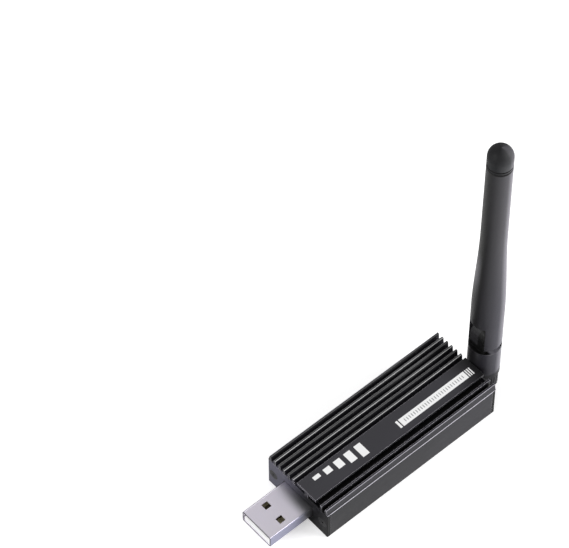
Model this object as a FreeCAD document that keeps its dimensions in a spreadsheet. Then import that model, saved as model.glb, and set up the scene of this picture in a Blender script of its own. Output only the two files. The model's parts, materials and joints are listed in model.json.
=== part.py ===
import FreeCAD, Part
import math
import os

import Sketcher
from FreeCAD import Vector

doc = FreeCAD.newDocument("usb_radio_stick")

# Driving dimensions, in millimetres.
# Frame: origin at the centre of the flat underside, X across the width,
# Y from the plug towards the antenna, Z up. The whip has its own frame at the antenna's foot.
SIZES = {
    # Extruded housing
    "HousingWidth": 25.5,
    "HousingLength": 65.0,
    "BoxHeight": 11.2,
    "FinHeight": 2.3,
    "WallLean": 0.55,
    "FinCrest": 0.6,
    "FinFlank": 0.2,
    "RootFlare": 0.18,
    "FinPitch": 1.98,
    "FinCount": 5,
    "LoneFinLeft": 9.6,
    "PlatformLeft": -0.3,
    "PlatformWidth": 7.9,
    "PlatformThickness": 0.8,
    "WebWidth": 1.3,
    "SideSkin": 1.25,
    "FlatSkin": 1.2,
    "RailReach": 3.6,
    "RailHeight": 4.2,
    "RailSlotDepth": 1.0,
    "CoreHeight": 5.5,
    # End plates and their screws
    "PlateThickness": 1.2,
    "PlateGap": 0.05,
    "PlateBevel": 0.15,
    "ScrewSpread": 10.5,
    "ScrewPortRadius": 0.82,
    "ScrewRadius": 0.8,
    "ScrewHeadRadius": 1.7,
    "ScrewHeadDepth": 0.9,
    "ScrewLength": 6.0,
    "ScrewHoleRadius": 1.05,
    # Plug
    "PlugWidth": 12.0,
    "PlugHeight": 4.5,
    "PlugSheet": 0.3,
    "PlugCorner": 0.5,
    "PlugReach": 15.5,
    "PlugLength": 18.8,
    "PlugSlotGap": 0.15,
    "PlugWindow": 2.1,
    "PlugWindowSpread": 3.05,
    "PlugWindowDepth": 6.4,
    "PlugTail": 0.4,
    "TongueHeight": 1.85,
    "TongueSetback": 0.3,
    "TongueDepth": 11.8,
    "TongueBevelDepth": 0.4,
    "TongueBevelHeight": 0.3,
    "ContactWidth": 1.0,
    "ContactSheet": 0.25,
    "ContactTail": 2.6,
    "ContactSlack": 0.01,
    "OuterContactSpread": 3.5,
    "InnerContactSpread": 1.0,
    # Circuit board
    "BoardHalfWidth": 8.8,
    "BoardThickness": 1.6,
    "BoardFront": -28.6,
    "BoardRear": 28.7,
    "BoardCorner": 1.0,
    "SwitchWidth": 3.9,
    "SwitchDepth": 3.0,
    "SwitchHeight": 1.4,
    "SwitchFloor": 0.6,
    "SwitchSpread": 5.0,
    "SwitchPlace": -4.0,
    "ButtonRadius": 0.9,
    "ButtonLength": 1.0,
    "ButtonTravel": 0.25,
    # Threaded jack and its coupling nut
    "AntennaSide": 2.1,
    "JackReach": 5.0,
    "JackRadius": 3.1,
    "JackHoleRadius": 3.25,
    "JackBevel": 0.3,
    "FlangeWidth": 6.4,
    "FlangeHeight": 6.0,
    "FlangeSetback": 0.1,
    "FlangeThickness": 2.3,
    "LegSize": 1.0,
    "LegSpread": 2.6,
    "LegLength": 3.2,
    "JackMouthRadius": 2.3,
    "JackMouthDepth": 2.1,
    "InsulatorRadius": 2.05,
    "InsulatorTail": 3.3,
    "SocketRadius": 0.64,
    "SocketBore": 0.5,
    "SocketFloor": 1.0,
    "SocketTail": 3.75,
    "SolderTabLength": 2.2,
    "SolderTabHeight": 0.3,
    "SolderTabWidth": 0.8,
    "PinRadius": 0.46,
    "PinTipRadius": 0.2,
    "PinTipLength": 0.4,
    "RunningGap": 0.05,
    "NutSetback": 0.5,
    "NutLip": 0.65,
    "NutBevel": 0.2,
    "NutRadius": 3.7,
    "NutWall": 0.55,
    "NotchHalfWidth": 0.3,
    "NotchRelief": 0.1,
    "FerruleRadius": 2.4,
    "FerruleBore": 1.9,
    "FerruleFlange": 0.6,
    "FerruleTail": 2.7,
    "WireWayOffset": 1.9,
    "WireWayRadius": 0.4,
    # Antenna
    "WhipSetback": 5.2,
    "WhipRadius": 4.9,
    "WhipTipRadius": 3.75,
    "WhipWaistRadius": 3.85,
    "ElbowFoot": 0.5,
    "FootBoreRadius": 3.6,
    "FootBoreDepth": 0.8,
    "FootCapRadius": 3.55,
    "FootCapThickness": 0.75,
    "GripRadius": 4.6,
    "RibDepth": 0.35,
    "RibHeight": 5.8,
    "RibCount": 25,
    "CollarRadius": 4.4,
    "ElbowTop": 19.6,
    "SeamHeight": 21.25,
    "HingeHeight": 24.3,
    "TongueWidth": 5.9,
    "TongueHalfDepth": 3.6,
    "TrunnionRadius": 1.5,
    "TrunnionSpan": 7.7,
    "DishRadius": 5.25,
    "ForkSlot": 6.14,
    "ForkTop": 31.5,
    "TaperStart": 37.4,
    "TaperEnd": 72.2,
    "SleeveTop": 102.5,
    "SpigotRadius": 2.6,
    "SpigotLength": 6.0,
    "SpigotWell": 7.0,
    "SeamBevel": 0.15,
    "CapBandHeight": 0.85,
    "CapGrooveDepth": 0.2,
    "TipTop": 110.1,
    "RadiatorRadius": 2.1,
    "RadiatorNeck": 0.9,
    "RadiatorStart": 1.0,
    "RadiatorShoulder": 8.0,
    "RadiatorEnd": 34.0,
    "RodRadius": 0.8,
    "RodEnd": 0.4,
    "RodWellEnd": 0.5,
}

sheet = doc.addObject("Spreadsheet::Sheet", "size")
for row, (alias, number) in enumerate(SIZES.items(), start=1):
    sheet.set(f"A{row}", alias)
    sheet.set(f"B{row}", str(number))
    sheet.setAlias(f"B{row}", alias)
doc.recompute()

nodes = []


# Helpers

def value(text):
    """Evaluate an expression on the sheet."""
    return float(sheet.evalExpression(str(text)))


def sized(text):
    """Write every driving dimension in an expression with the sheet's name."""
    words = str(text).replace("(", " ( ").replace(")", " ) ").split()
    return " ".join(f"size.{word}" if word in SIZES else word for word in words)


def bind(thing, prop, text):
    """Bind one property of an object to the sheet."""
    thing.setExpression(prop, sized(text))


def node(thing, name):
    """Name a sub-part and list it for writing."""
    thing.Label = name
    nodes.append(thing)
    return thing


def new_body(name, place=None):
    """Start a body, moved to a place given as expressions."""
    body = node(doc.addObject("PartDesign::Body", name), name)
    for axis, text in zip("xyz", place or ()):
        bind(body, f"Placement.Base.{axis}", text)
    return body


def sketch_on(body, role, tag, offset="0"):
    """Attach a sketch to one of the body's own origin planes."""
    sketch = body.newObject("Sketcher::SketchObject", f"{body.Name}_{tag}")
    plane = [item for item in body.Origin.OriginFeatures if item.Role == role][0]
    sketch.AttachmentSupport = (plane, [""])
    sketch.MapMode = "FlatFace"
    bind(sketch, "AttachmentOffset.Base.z", offset)
    return sketch


def pin_down(sketch, edge, end, corner):
    """Hold one end of an edge at a corner given as two expressions."""
    for kind, text in zip(("DistanceX", "DistanceY"), corner):
        number = value(sized(text))
        index = sketch.addConstraint(Sketcher.Constraint(kind, -1, 1, edge, end, number))
        bind(sketch, f"Constraints[{index}]", text)


def outline(sketch, corners):
    """Draw a closed outline. A third value is the radius of the edge to that corner,
    which runs counter-clockwise, or clockwise with a fourth value."""
    points = [Vector(value(sized(c[0])), value(sized(c[1])), 0) for c in corners]
    ends = []
    for index, corner in enumerate(corners):
        start, stop = points[index - 1], points[index]
        if len(corner) == 2:
            edge = sketch.addGeometry(Part.LineSegment(start, stop))
            ends.append((edge, 1, 2))
            continue
        radius = value(sized(corner[2]))
        left_turn = len(corner) == 3
        chord = stop - start
        across = Vector(-chord.y, chord.x, 0).normalize()
        rise = math.sqrt(max(radius ** 2 - chord.Length ** 2 / 4, 0))
        centre = (start + stop) / 2 + across * (rise if left_turn else -rise)
        first, last = (start, stop) if left_turn else (stop, start)
        angles = [math.atan2(p.y - centre.y, p.x - centre.x) for p in (first, last)]
        whole = Part.Circle(centre, Vector(0, 0, 1), radius)
        edge = sketch.addGeometry(Part.ArcOfCircle(whole, *angles))
        ends.append((edge, 1, 2) if left_turn else (edge, 2, 1))
        bend = sketch.addConstraint(Sketcher.Constraint("Radius", edge, radius))
        bind(sketch, f"Constraints[{bend}]", corner[2])
    for index, (edge, start, stop) in enumerate(ends):
        following, next_start, _ = ends[(index + 1) % len(ends)]
        sketch.addConstraint(Sketcher.Constraint("Coincident", edge, stop, following, next_start))
        pin_down(sketch, edge, stop, corners[index][:2])


def rectangle(sketch, left, low, right, high):
    """Draw a rectangle between two corners."""
    outline(sketch, [(left, low), (right, low), (right, high), (left, high)])


def circle(sketch, across, along, radius):
    """Draw a circle round a centre."""
    centre = Vector(value(sized(across)), value(sized(along)), 0)
    size = value(sized(radius))
    edge = sketch.addGeometry(Part.Circle(centre, Vector(0, 0, 1), size))
    pin_down(sketch, edge, 3, (across, along))
    index = sketch.addConstraint(Sketcher.Constraint("Radius", edge, size))
    bind(sketch, f"Constraints[{index}]", radius)


def extrude(body, sketch, length, kind="Pad", centred=False, back=False):
    """Pad or pocket a sketch by a length."""
    feature = body.newObject(f"PartDesign::{kind}", f"{sketch.Name}_{kind.lower()}")
    feature.Profile = sketch
    bind(feature, "Length", length)
    feature.Midplane = centred
    feature.Reversed = back
    return feature


def pad(body, sketch, length, centred=False, back=False):
    return extrude(body, sketch, length, "Pad", centred, back)


def pocket(body, sketch, length, centred=False, back=False):
    """Cut a sketch out, and refuse a cut that removes nothing."""
    doc.recompute()
    before = body.Shape.Volume
    feature = extrude(body, sketch, length, "Pocket", centred, back)
    doc.recompute()
    if not body.Shape.Volume < before - 1e-4:
        raise RuntimeError(f"{feature.Name} removes nothing")
    return feature


def revolve(body, sketch, axis="V_Axis", kind="Revolution"):
    """Turn a sketch a full turn about one of its own axes."""
    feature = body.newObject(f"PartDesign::{kind}", f"{sketch.Name}_{kind.lower()}")
    feature.Profile = sketch
    feature.ReferenceAxis = (sketch, [axis])
    feature.Angle = 360
    return feature


def turned(name, corners, place, axis="V_Axis", role="YZ_Plane"):
    """A turned piece: its half section lies in the YZ plane."""
    body = new_body(name, place)
    sketch = sketch_on(body, role, "section")
    outline(sketch, corners)
    revolve(body, sketch, axis)
    return body


def dress(body, kind, tag, edges, prop, text):
    """Bevel or round the chosen edges of the body's last feature."""
    base = body.Tip
    feature = body.newObject(f"PartDesign::{kind}", f"{body.Name}_{tag}")
    feature.Base = (base, edges)
    bind(feature, prop, text)
    return feature


def repeat_round(body, feature, axis_role, count):
    """Repeat a feature round one of the body's own axes."""
    pattern = body.newObject("PartDesign::PolarPattern", f"{feature.Name}_ring")
    axis = [item for item in body.Origin.OriginFeatures if item.Role == axis_role][0]
    pattern.Originals = [feature]
    pattern.Axis = (axis, [""])
    pattern.Angle = 360
    bind(pattern, "Occurrences", count)
    body.Tip = pattern
    return pattern


def box(name, size_texts, low_texts, is_node=True):
    """A block from its size and lowest corner, both as expressions."""
    block = doc.addObject("Part::Box", name)
    for prop, text in zip(("Length", "Width", "Height"), size_texts):
        bind(block, prop, text)
    for axis, text in zip("xyz", low_texts):
        bind(block, f"Placement.Base.{axis}", text)
    return node(block, name) if is_node else block


def group(name, members):
    """Separate like solids that share one node."""
    compound = doc.addObject("Part::Compound", name)
    compound.Links = members
    return node(compound, name)


# Lengths that several pieces share
FRONT = "( 0 - HousingLength / 2 )"
REAR = "( HousingLength / 2 )"
HALF_WIDTH = "( HousingWidth / 2 )"
CREST = "( BoxHeight + FinHeight )"
PLUG_FRONT = f"( {FRONT} - PlugReach )"
BOARD_TOP = "( CoreHeight + BoardThickness / 2 )"
WHIP_Y = f"( {REAR} + WhipSetback )"


# Housing: one aluminium extrusion with fins and a label platform
def fin_outline(left):
    """One tapered fin with flared roots, from the left edge of its crest."""
    root_left = f"( {left} - FinFlank )"
    root_right = f"( {left} + FinCrest + FinFlank )"
    knee = "( BoxHeight + RootFlare )"
    return [
        (f"{root_left} - RootFlare", "BoxHeight - FlatSkin / 2"),
        (f"{root_right} + RootFlare", "BoxHeight - FlatSkin / 2"),
        (f"{root_right} + RootFlare", "BoxHeight"),
        (root_right, knee),
        (f"{left} + FinCrest", CREST),
        (left, CREST),
        (root_left, knee),
        (f"{root_left} - RootFlare", "BoxHeight"),
    ]


def wall_outline(side):
    """The top of an outer wall: it leans in above the shoulder."""
    crest_out = f"( {side} * ( {HALF_WIDTH} - WallLean ) )"
    crest_in = f"( {side} * ( {HALF_WIDTH} - WallLean - FinCrest ) )"
    root = f"( {side} * ( {HALF_WIDTH} - WallLean - FinCrest - FinFlank ) )"
    flare = f"( {side} * ( {HALF_WIDTH} - WallLean - FinCrest - FinFlank - RootFlare ) )"
    outer = f"( {side} * {HALF_WIDTH} )"
    return [
        (flare, "BoxHeight - FlatSkin / 2"),
        (outer, "BoxHeight - FlatSkin / 2"),
        (outer, "BoxHeight"),
        (crest_out, CREST),
        (crest_in, CREST),
        (root, "BoxHeight + RootFlare"),
        (flare, "BoxHeight"),
    ]


def platform_outline():
    """The label platform: a flat plate on a central web, undercut on both sides."""
    right = "( PlatformLeft + PlatformWidth )"
    web_left = "( PlatformLeft + ( PlatformWidth - WebWidth ) / 2 )"
    web_right = "( PlatformLeft + ( PlatformWidth + WebWidth ) / 2 )"
    plate_low = f"( {CREST} - PlatformThickness )"
    knee = "( BoxHeight + RootFlare )"
    return [
        (f"{web_left} - RootFlare", "BoxHeight - FlatSkin / 2"),
        (f"{web_right} + RootFlare", "BoxHeight - FlatSkin / 2"),
        (f"{web_right} + RootFlare", "BoxHeight"),
        (web_right, knee),
        (web_right, plate_low),
        (right, plate_low),
        (right, CREST),
        ("PlatformLeft", CREST),
        ("PlatformLeft", plate_low),
        (web_left, plate_low),
        (web_left, knee),
        (f"{web_left} - RootFlare", "BoxHeight"),
    ]


def cavity_outline():
    """The hollow of the extrusion, with a slotted rail on each side for the board."""
    inner = f"( {HALF_WIDTH} - SideSkin )"
    rail = f"( {inner} - RailReach )"
    slot = f"( {rail} + RailSlotDepth )"
    rail_low = "( CoreHeight - RailHeight / 2 )"
    rail_high = "( CoreHeight + RailHeight / 2 )"
    slot_low = "( CoreHeight - BoardThickness / 2 - RunningGap )"
    slot_high = "( CoreHeight + BoardThickness / 2 + RunningGap )"
    floor = "FlatSkin"
    ceiling = "( BoxHeight - FlatSkin )"
    right = [
        (inner, floor), (inner, rail_low), (rail, rail_low), (rail, slot_low),
        (slot, slot_low), (slot, slot_high), (rail, slot_high), (rail, rail_high),
        (inner, rail_high), (inner, ceiling),
    ]
    left = [(f"( 0 - {across} )", height) for across, height in reversed(right)]
    return right + left


def make_housing():
    body = new_body("housing")
    bar = sketch_on(body, "XZ_Plane", "bar")
    rectangle(bar, f"0 - {HALF_WIDTH}", "0", HALF_WIDTH, "BoxHeight")
    pad(body, bar, "HousingLength", centred=True)

    walls = sketch_on(body, "XZ_Plane", "walls")
    outline(walls, wall_outline("1"))
    outline(walls, wall_outline("( 0 - 1 )"))
    pad(body, walls, "HousingLength", centred=True)

    top = sketch_on(body, "XZ_Plane", "platform")
    outline(top, platform_outline())
    outline(top, fin_outline("LoneFinLeft"))
    pad(body, top, "HousingLength", centred=True)

    first_left = f"( 0 - {HALF_WIDTH} + WallLean + FinPitch )"
    fin = sketch_on(body, "XZ_Plane", "fin")
    outline(fin, fin_outline(first_left))
    fin_pad = pad(body, fin, "HousingLength", centred=True)
    row_of_fins = body.newObject("PartDesign::LinearPattern", "housing_fins")
    row_of_fins.Originals = [fin_pad]
    row_of_fins.Direction = (fin, ["H_Axis"])
    bind(row_of_fins, "Length", "FinPitch * ( FinCount - 1 )")
    bind(row_of_fins, "Occurrences", "FinCount")
    body.Tip = row_of_fins

    cavity = sketch_on(body, "XZ_Plane", "cavity")
    outline(cavity, cavity_outline())
    pocket(body, cavity, "HousingLength + 2", centred=True)

    ports = sketch_on(body, "XZ_Plane", "ports")
    for side in ("ScrewSpread", "0 - ScrewSpread"):
        circle(ports, side, "CoreHeight", "ScrewPortRadius")
    pocket(body, ports, "HousingLength + 2", centred=True)

    # The box is cut back at both ends, so that the plates lie flush with the fins
    ends = sketch_on(body, "YZ_Plane", "ends")
    rectangle(ends, f"{FRONT} - 1", "0 - 1", f"{FRONT} + PlateThickness", "BoxHeight")
    rectangle(ends, f"{REAR} - PlateThickness", "0 - 1", f"{REAR} + 1", "BoxHeight")
    pocket(body, ends, "HousingWidth + 2", centred=True)


# End plates
def make_end_plate(name, face, inward):
    """A plate over one end, with its outer edges bevelled and its screw holes drilled."""
    body = new_body(name)
    blank = sketch_on(body, "XZ_Plane", "blank", f"0 - {face}")
    rectangle(blank, f"0 - {HALF_WIDTH}", "0", HALF_WIDTH, "BoxHeight - PlateGap")
    pad(body, blank, "PlateThickness - PlateGap", back=inward)
    doc.recompute()
    rim = [
        f"Edge{index}" for index, edge in enumerate(body.Shape.Edges, start=1)
        if all(abs(vertex.Y - value(sized(face))) < 1e-6 for vertex in edge.Vertexes)
    ]
    dress(body, "Chamfer", "bevel", rim, "Size", "PlateBevel")
    holes = sketch_on(body, "XZ_Plane", "holes")
    for side in ("ScrewSpread", "0 - ScrewSpread"):
        circle(holes, side, "CoreHeight", "ScrewHoleRadius")
    pocket(body, holes, "HousingLength + 2", centred=True)
    return body


def countersink(body, face, sign):
    """Cut both screw seats with one turned groove, then mirror it."""
    seat = sketch_on(body, "XY_Plane", "seat", "CoreHeight")
    head = "( ScrewHeadRadius + RunningGap )"
    axis = "ScrewSpread"
    outline(seat, [
        (axis, f"{face} + {sign} * 0.01"),
        (f"{axis} + {head}", f"{face} + {sign} * 0.01"),
        (f"{axis} + {head}", face),
        (f"{axis} + ScrewHoleRadius", f"{face} - {sign} * ScrewHeadDepth"),
        (axis, f"{face} - {sign} * ScrewHeadDepth"),
    ])
    line = seat.addGeometry(Part.LineSegment(
        Vector(value(sized(axis)), 0, 0), Vector(value(sized(axis)), 10, 0)), True)
    pin_down(seat, line, 1, (axis, "0"))
    pin_down(seat, line, 2, (axis, "10"))
    doc.recompute()
    before = body.Shape.Volume
    groove = body.newObject("PartDesign::Groove", f"{body.Name}_seat_groove")
    groove.Profile = seat
    groove.ReferenceAxis = (seat, ["Axis0"])
    groove.Angle = 360
    doc.recompute()
    mirror = body.newObject("PartDesign::Mirrored", f"{body.Name}_seats")
    mirror.Originals = [groove]
    plane = [item for item in body.Origin.OriginFeatures if item.Role == "YZ_Plane"][0]
    mirror.MirrorPlane = (plane, [""])
    body.Tip = mirror
    doc.recompute()
    if not body.Shape.Volume < before - 1e-4:
        raise RuntimeError(f"{body.Name} has no countersinks")


def make_end_plates():
    front = make_end_plate("front_end_plate", FRONT, inward=True)
    mouth = sketch_on(front, "XZ_Plane", "mouth")
    half = "( PlugWidth / 2 + PlugSlotGap )"
    low = "( CoreHeight - PlugHeight / 2 - PlugSlotGap )"
    high = "( CoreHeight + PlugHeight / 2 + PlugSlotGap )"
    rectangle(mouth, f"0 - {half}", low, half, high)
    pocket(front, mouth, "HousingLength + 2", centred=True)
    countersink(front, FRONT, "( 0 - 1 )")

    rear = make_end_plate("rear_end_plate", REAR, inward=False)
    hole = sketch_on(rear, "XZ_Plane", "jack_hole")
    circle(hole, "AntennaSide", "CoreHeight", "JackHoleRadius")
    pocket(rear, hole, "HousingLength + 2", centred=True)
    countersink(rear, REAR, "1")


def make_screws(name, face, sign):
    """Two countersunk thread-forming screws. Their heads lie flush."""
    pair = []
    for side, spread in (("left", "0 - ScrewSpread"), ("right", "ScrewSpread")):
        head = doc.addObject("Part::Cone", f"{name}_{side}_head")
        bind(head, "Radius1", "ScrewHeadRadius")
        bind(head, "Radius2", "ScrewRadius")
        bind(head, "Height", "ScrewHeadDepth")
        shank = doc.addObject("Part::Cylinder", f"{name}_{side}_shank")
        bind(shank, "Radius", "ScrewRadius")
        bind(shank, "Height", "ScrewLength")
        for piece in (head, shank):
            turn = FreeCAD.Rotation(Vector(1, 0, 0), 90 if sign > 0 else -90)
            piece.Placement = FreeCAD.Placement(Vector(), turn)
            bind(piece, "Placement.Base.x", spread)
            bind(piece, "Placement.Base.y", face)
            bind(piece, "Placement.Base.z", "CoreHeight")
        screw = doc.addObject("Part::Fuse", f"{name}_{side}")
        screw.Base = head
        screw.Tool = shank
        pair.append(screw)
    group(name, pair)


# Plug
def make_usb_shell():
    """A folded sheet sleeve with two latch windows above and two below."""
    body = new_body("usb_shell", ("0", PLUG_FRONT, "CoreHeight"))
    sleeve = sketch_on(body, "XZ_Plane", "sleeve")
    rectangle(sleeve, "0 - PlugWidth / 2", "0 - PlugHeight / 2", "PlugWidth / 2", "PlugHeight / 2")
    pad(body, sleeve, "PlugLength", back=True)
    doc.recompute()
    long_edges = [
        f"Edge{index}" for index, edge in enumerate(body.Shape.Edges, start=1)
        if abs(edge.tangentAt(edge.FirstParameter).y) > 0.99
    ]
    dress(body, "Fillet", "corners", long_edges, "Radius", "PlugCorner")

    inside = sketch_on(body, "XZ_Plane", "inside")
    across = "( PlugWidth / 2 - PlugSheet )"
    up = "( PlugHeight / 2 - PlugSheet )"
    bend = "( PlugCorner - PlugSheet )"
    outline(inside, [
        (f"0 - {across} + {bend}", f"0 - {up}", bend),
        (f"{across} - {bend}", f"0 - {up}"),
        (across, f"0 - {up} + {bend}", bend),
        (across, f"{up} - {bend}"),
        (f"{across} - {bend}", up, bend),
        (f"0 - {across} + {bend}", up),
        (f"0 - {across}", f"{up} - {bend}", bend),
        (f"0 - {across}", f"0 - {up} + {bend}"),
    ])
    pocket(body, inside, "2 * PlugLength + 2", centred=True)

    windows = sketch_on(body, "XY_Plane", "windows")
    half = "( PlugWindow / 2 )"
    for side in ("PlugWindowSpread", "( 0 - PlugWindowSpread )"):
        rectangle(
            windows, f"{side} - {half}", f"PlugWindowDepth - {half}",
            f"{side} + {half}", f"PlugWindowDepth + {half}")
    pocket(body, windows, "PlugHeight + 2", centred=True)


CONTACT_SPREADS = {
    "usb_contact_power": "( 0 - OuterContactSpread )",
    "usb_contact_data_minus": "( 0 - InnerContactSpread )",
    "usb_contact_data_plus": "InnerContactSpread",
    "usb_contact_ground": "OuterContactSpread",
}
TONGUE_LOW = "( PlugSheet - PlugHeight / 2 )"
TONGUE_TOP = f"( {TONGUE_LOW} + TongueHeight )"
CONTACT_TOP = f"( {TONGUE_TOP} + RunningGap )"
CONTACT_LOW = f"( {CONTACT_TOP} - ContactSheet )"


def make_plug_body():
    """The plug's moulding: a tongue in the lower half and a full block behind it."""
    body = new_body("usb_plug_body", ("0", PLUG_FRONT, "CoreHeight"))
    side = sketch_on(body, "YZ_Plane", "side")
    outline(side, [
        ("TongueSetback", TONGUE_LOW),
        ("PlugLength - PlugTail", TONGUE_LOW),
        ("PlugLength - PlugTail", f"0 - {TONGUE_LOW}"),
        ("TongueDepth", f"0 - {TONGUE_LOW}"),
        ("TongueDepth", TONGUE_TOP),
        ("TongueSetback + TongueBevelDepth", TONGUE_TOP),
        ("TongueSetback", f"{TONGUE_TOP} - TongueBevelHeight"),
    ])
    pad(body, side, "PlugWidth - 2 * PlugCorner", centred=True)
    channels = sketch_on(body, "XZ_Plane", "channels", "0 - PlugLength - 1")
    for spread in CONTACT_SPREADS.values():
        half = "( ContactWidth / 2 + ContactSlack )"
        rectangle(
            channels, f"{spread} - {half}", f"{CONTACT_LOW} - ContactSlack",
            f"{spread} + {half}", f"{CONTACT_TOP} + ContactSlack")
    pocket(body, channels, "PlugLength", back=True)


def make_contact(name, spread, nose):
    """A sheet strip along the tongue. Its tail steps up onto the board."""
    body = new_body(name, (spread, PLUG_FRONT, "CoreHeight"))
    side = sketch_on(body, "YZ_Plane", "side")
    tail_low = "( BoardThickness / 2 )"
    tail_top = f"( {tail_low} + ContactSheet )"
    bend = f"( BoardFront - {PLUG_FRONT} - ContactSheet - PlugSheet )"
    outline(side, [
        (nose, CONTACT_LOW),
        (f"{bend} + ContactSheet", CONTACT_LOW),
        (f"{bend} + ContactSheet", tail_low),
        (f"{bend} + ContactTail", tail_low),
        (f"{bend} + ContactTail", tail_top),
        (bend, tail_top),
        (bend, CONTACT_TOP),
        (nose, CONTACT_TOP),
    ])
    pad(body, side, "ContactWidth", centred=True)


# Circuit board and what is soldered to it
def make_circuit_board():
    body = new_body("circuit_board")
    blank = sketch_on(body, "XY_Plane", "blank", "CoreHeight - BoardThickness / 2")
    half = "BoardHalfWidth"
    outline(blank, [
        (f"0 - {half} + BoardCorner", "BoardFront"), (f"{half} - BoardCorner", "BoardFront"),
        (half, "BoardFront + BoardCorner"), (half, "BoardRear - BoardCorner"),
        (f"{half} - BoardCorner", "BoardRear"), (f"0 - {half} + BoardCorner", "BoardRear"),
        (f"0 - {half}", "BoardRear - BoardCorner"), (f"0 - {half}", "BoardFront + BoardCorner"),
    ])
    pad(body, blank, "BoardThickness")


# Width, depth and height of each kind of component
COMPONENTS = {
    "radio_chip": (7.0, 7.0, 0.9),
    "usb_bridge_chip": (5.0, 5.0, 0.9),
    "radio_crystal": (2.5, 3.2, 0.7),
    "clock_crystal": (1.5, 3.2, 0.8),
    "status_led": (0.8, 1.6, 0.6),
    "regulator_case": (4.5, 2.5, 1.5),
    "regulator_tab": (1.7, 0.9, 0.4),
    "capacitor": (0.8, 1.6, 0.8),
    "resistor": (0.5, 1.0, 0.35),
}
# Where the passive parts sit: rows along the board, and spreads across it
PASSIVE_ROWS = (-23.5, -12.0, 4.5, 17.5)
PASSIVE_SPREADS = {"capacitor": 2.4, "resistor": 0.8}


def on_board(kind, across, along, name=None):
    """A square-sided component, centred on a spot of the board's top."""
    wide, deep, high = COMPONENTS[kind]
    low = (f"( 0 + {across - wide / 2} )", f"( 0 + {along - deep / 2} )", BOARD_TOP)
    return box(name or kind, (wide, deep, high), low, is_node=name is None)


def make_components():
    on_board("radio_chip", 0, 11)
    on_board("usb_bridge_chip", 0, -16)
    on_board("radio_crystal", 6.2, 11)
    on_board("clock_crystal", -5.8, 11)
    sides = {"left": -1, "right": 1}
    group("status_leds", [
        on_board("status_led", side * 6.6, 21, f"status_led_{word}") for word, side in sides.items()
    ])

    regulator = doc.addObject("Part::Fuse", "regulator")
    regulator.Base = on_board("regulator_case", -5.6, -22, "regulator_case")
    regulator.Tool = on_board("regulator_tab", -5.6, -20.3, "regulator_tab")
    node(regulator, "voltage_regulator")

    for kind, spread in PASSIVE_SPREADS.items():
        group(f"{kind}s", [
            on_board(kind, side * spread, along, f"{kind}_{row}_{word}")
            for row, along in enumerate(PASSIVE_ROWS) for word, side in sides.items()
        ])


def make_switch(name, across):
    """A surface-mounted push switch: a case with a round plunger in its well."""
    place = (across, "SwitchPlace", BOARD_TOP)
    case = new_body(f"{name}_switch_case", place)
    blank = sketch_on(case, "XY_Plane", "blank")
    rectangle(
        blank, "0 - SwitchWidth / 2", "0 - SwitchDepth / 2", "SwitchWidth / 2", "SwitchDepth / 2")
    pad(case, blank, "SwitchHeight")
    well = sketch_on(case, "XY_Plane", "well", "SwitchFloor")
    circle(well, "0", "0", "ButtonRadius + RunningGap")
    pocket(case, well, "SwitchHeight", back=True)
    button = new_body(f"{name}_switch_button", place)
    stem = sketch_on(button, "XY_Plane", "stem", "SwitchFloor + ButtonTravel + RunningGap")
    circle(stem, "0", "0", "ButtonRadius")
    pad(button, stem, "ButtonLength")


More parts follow.
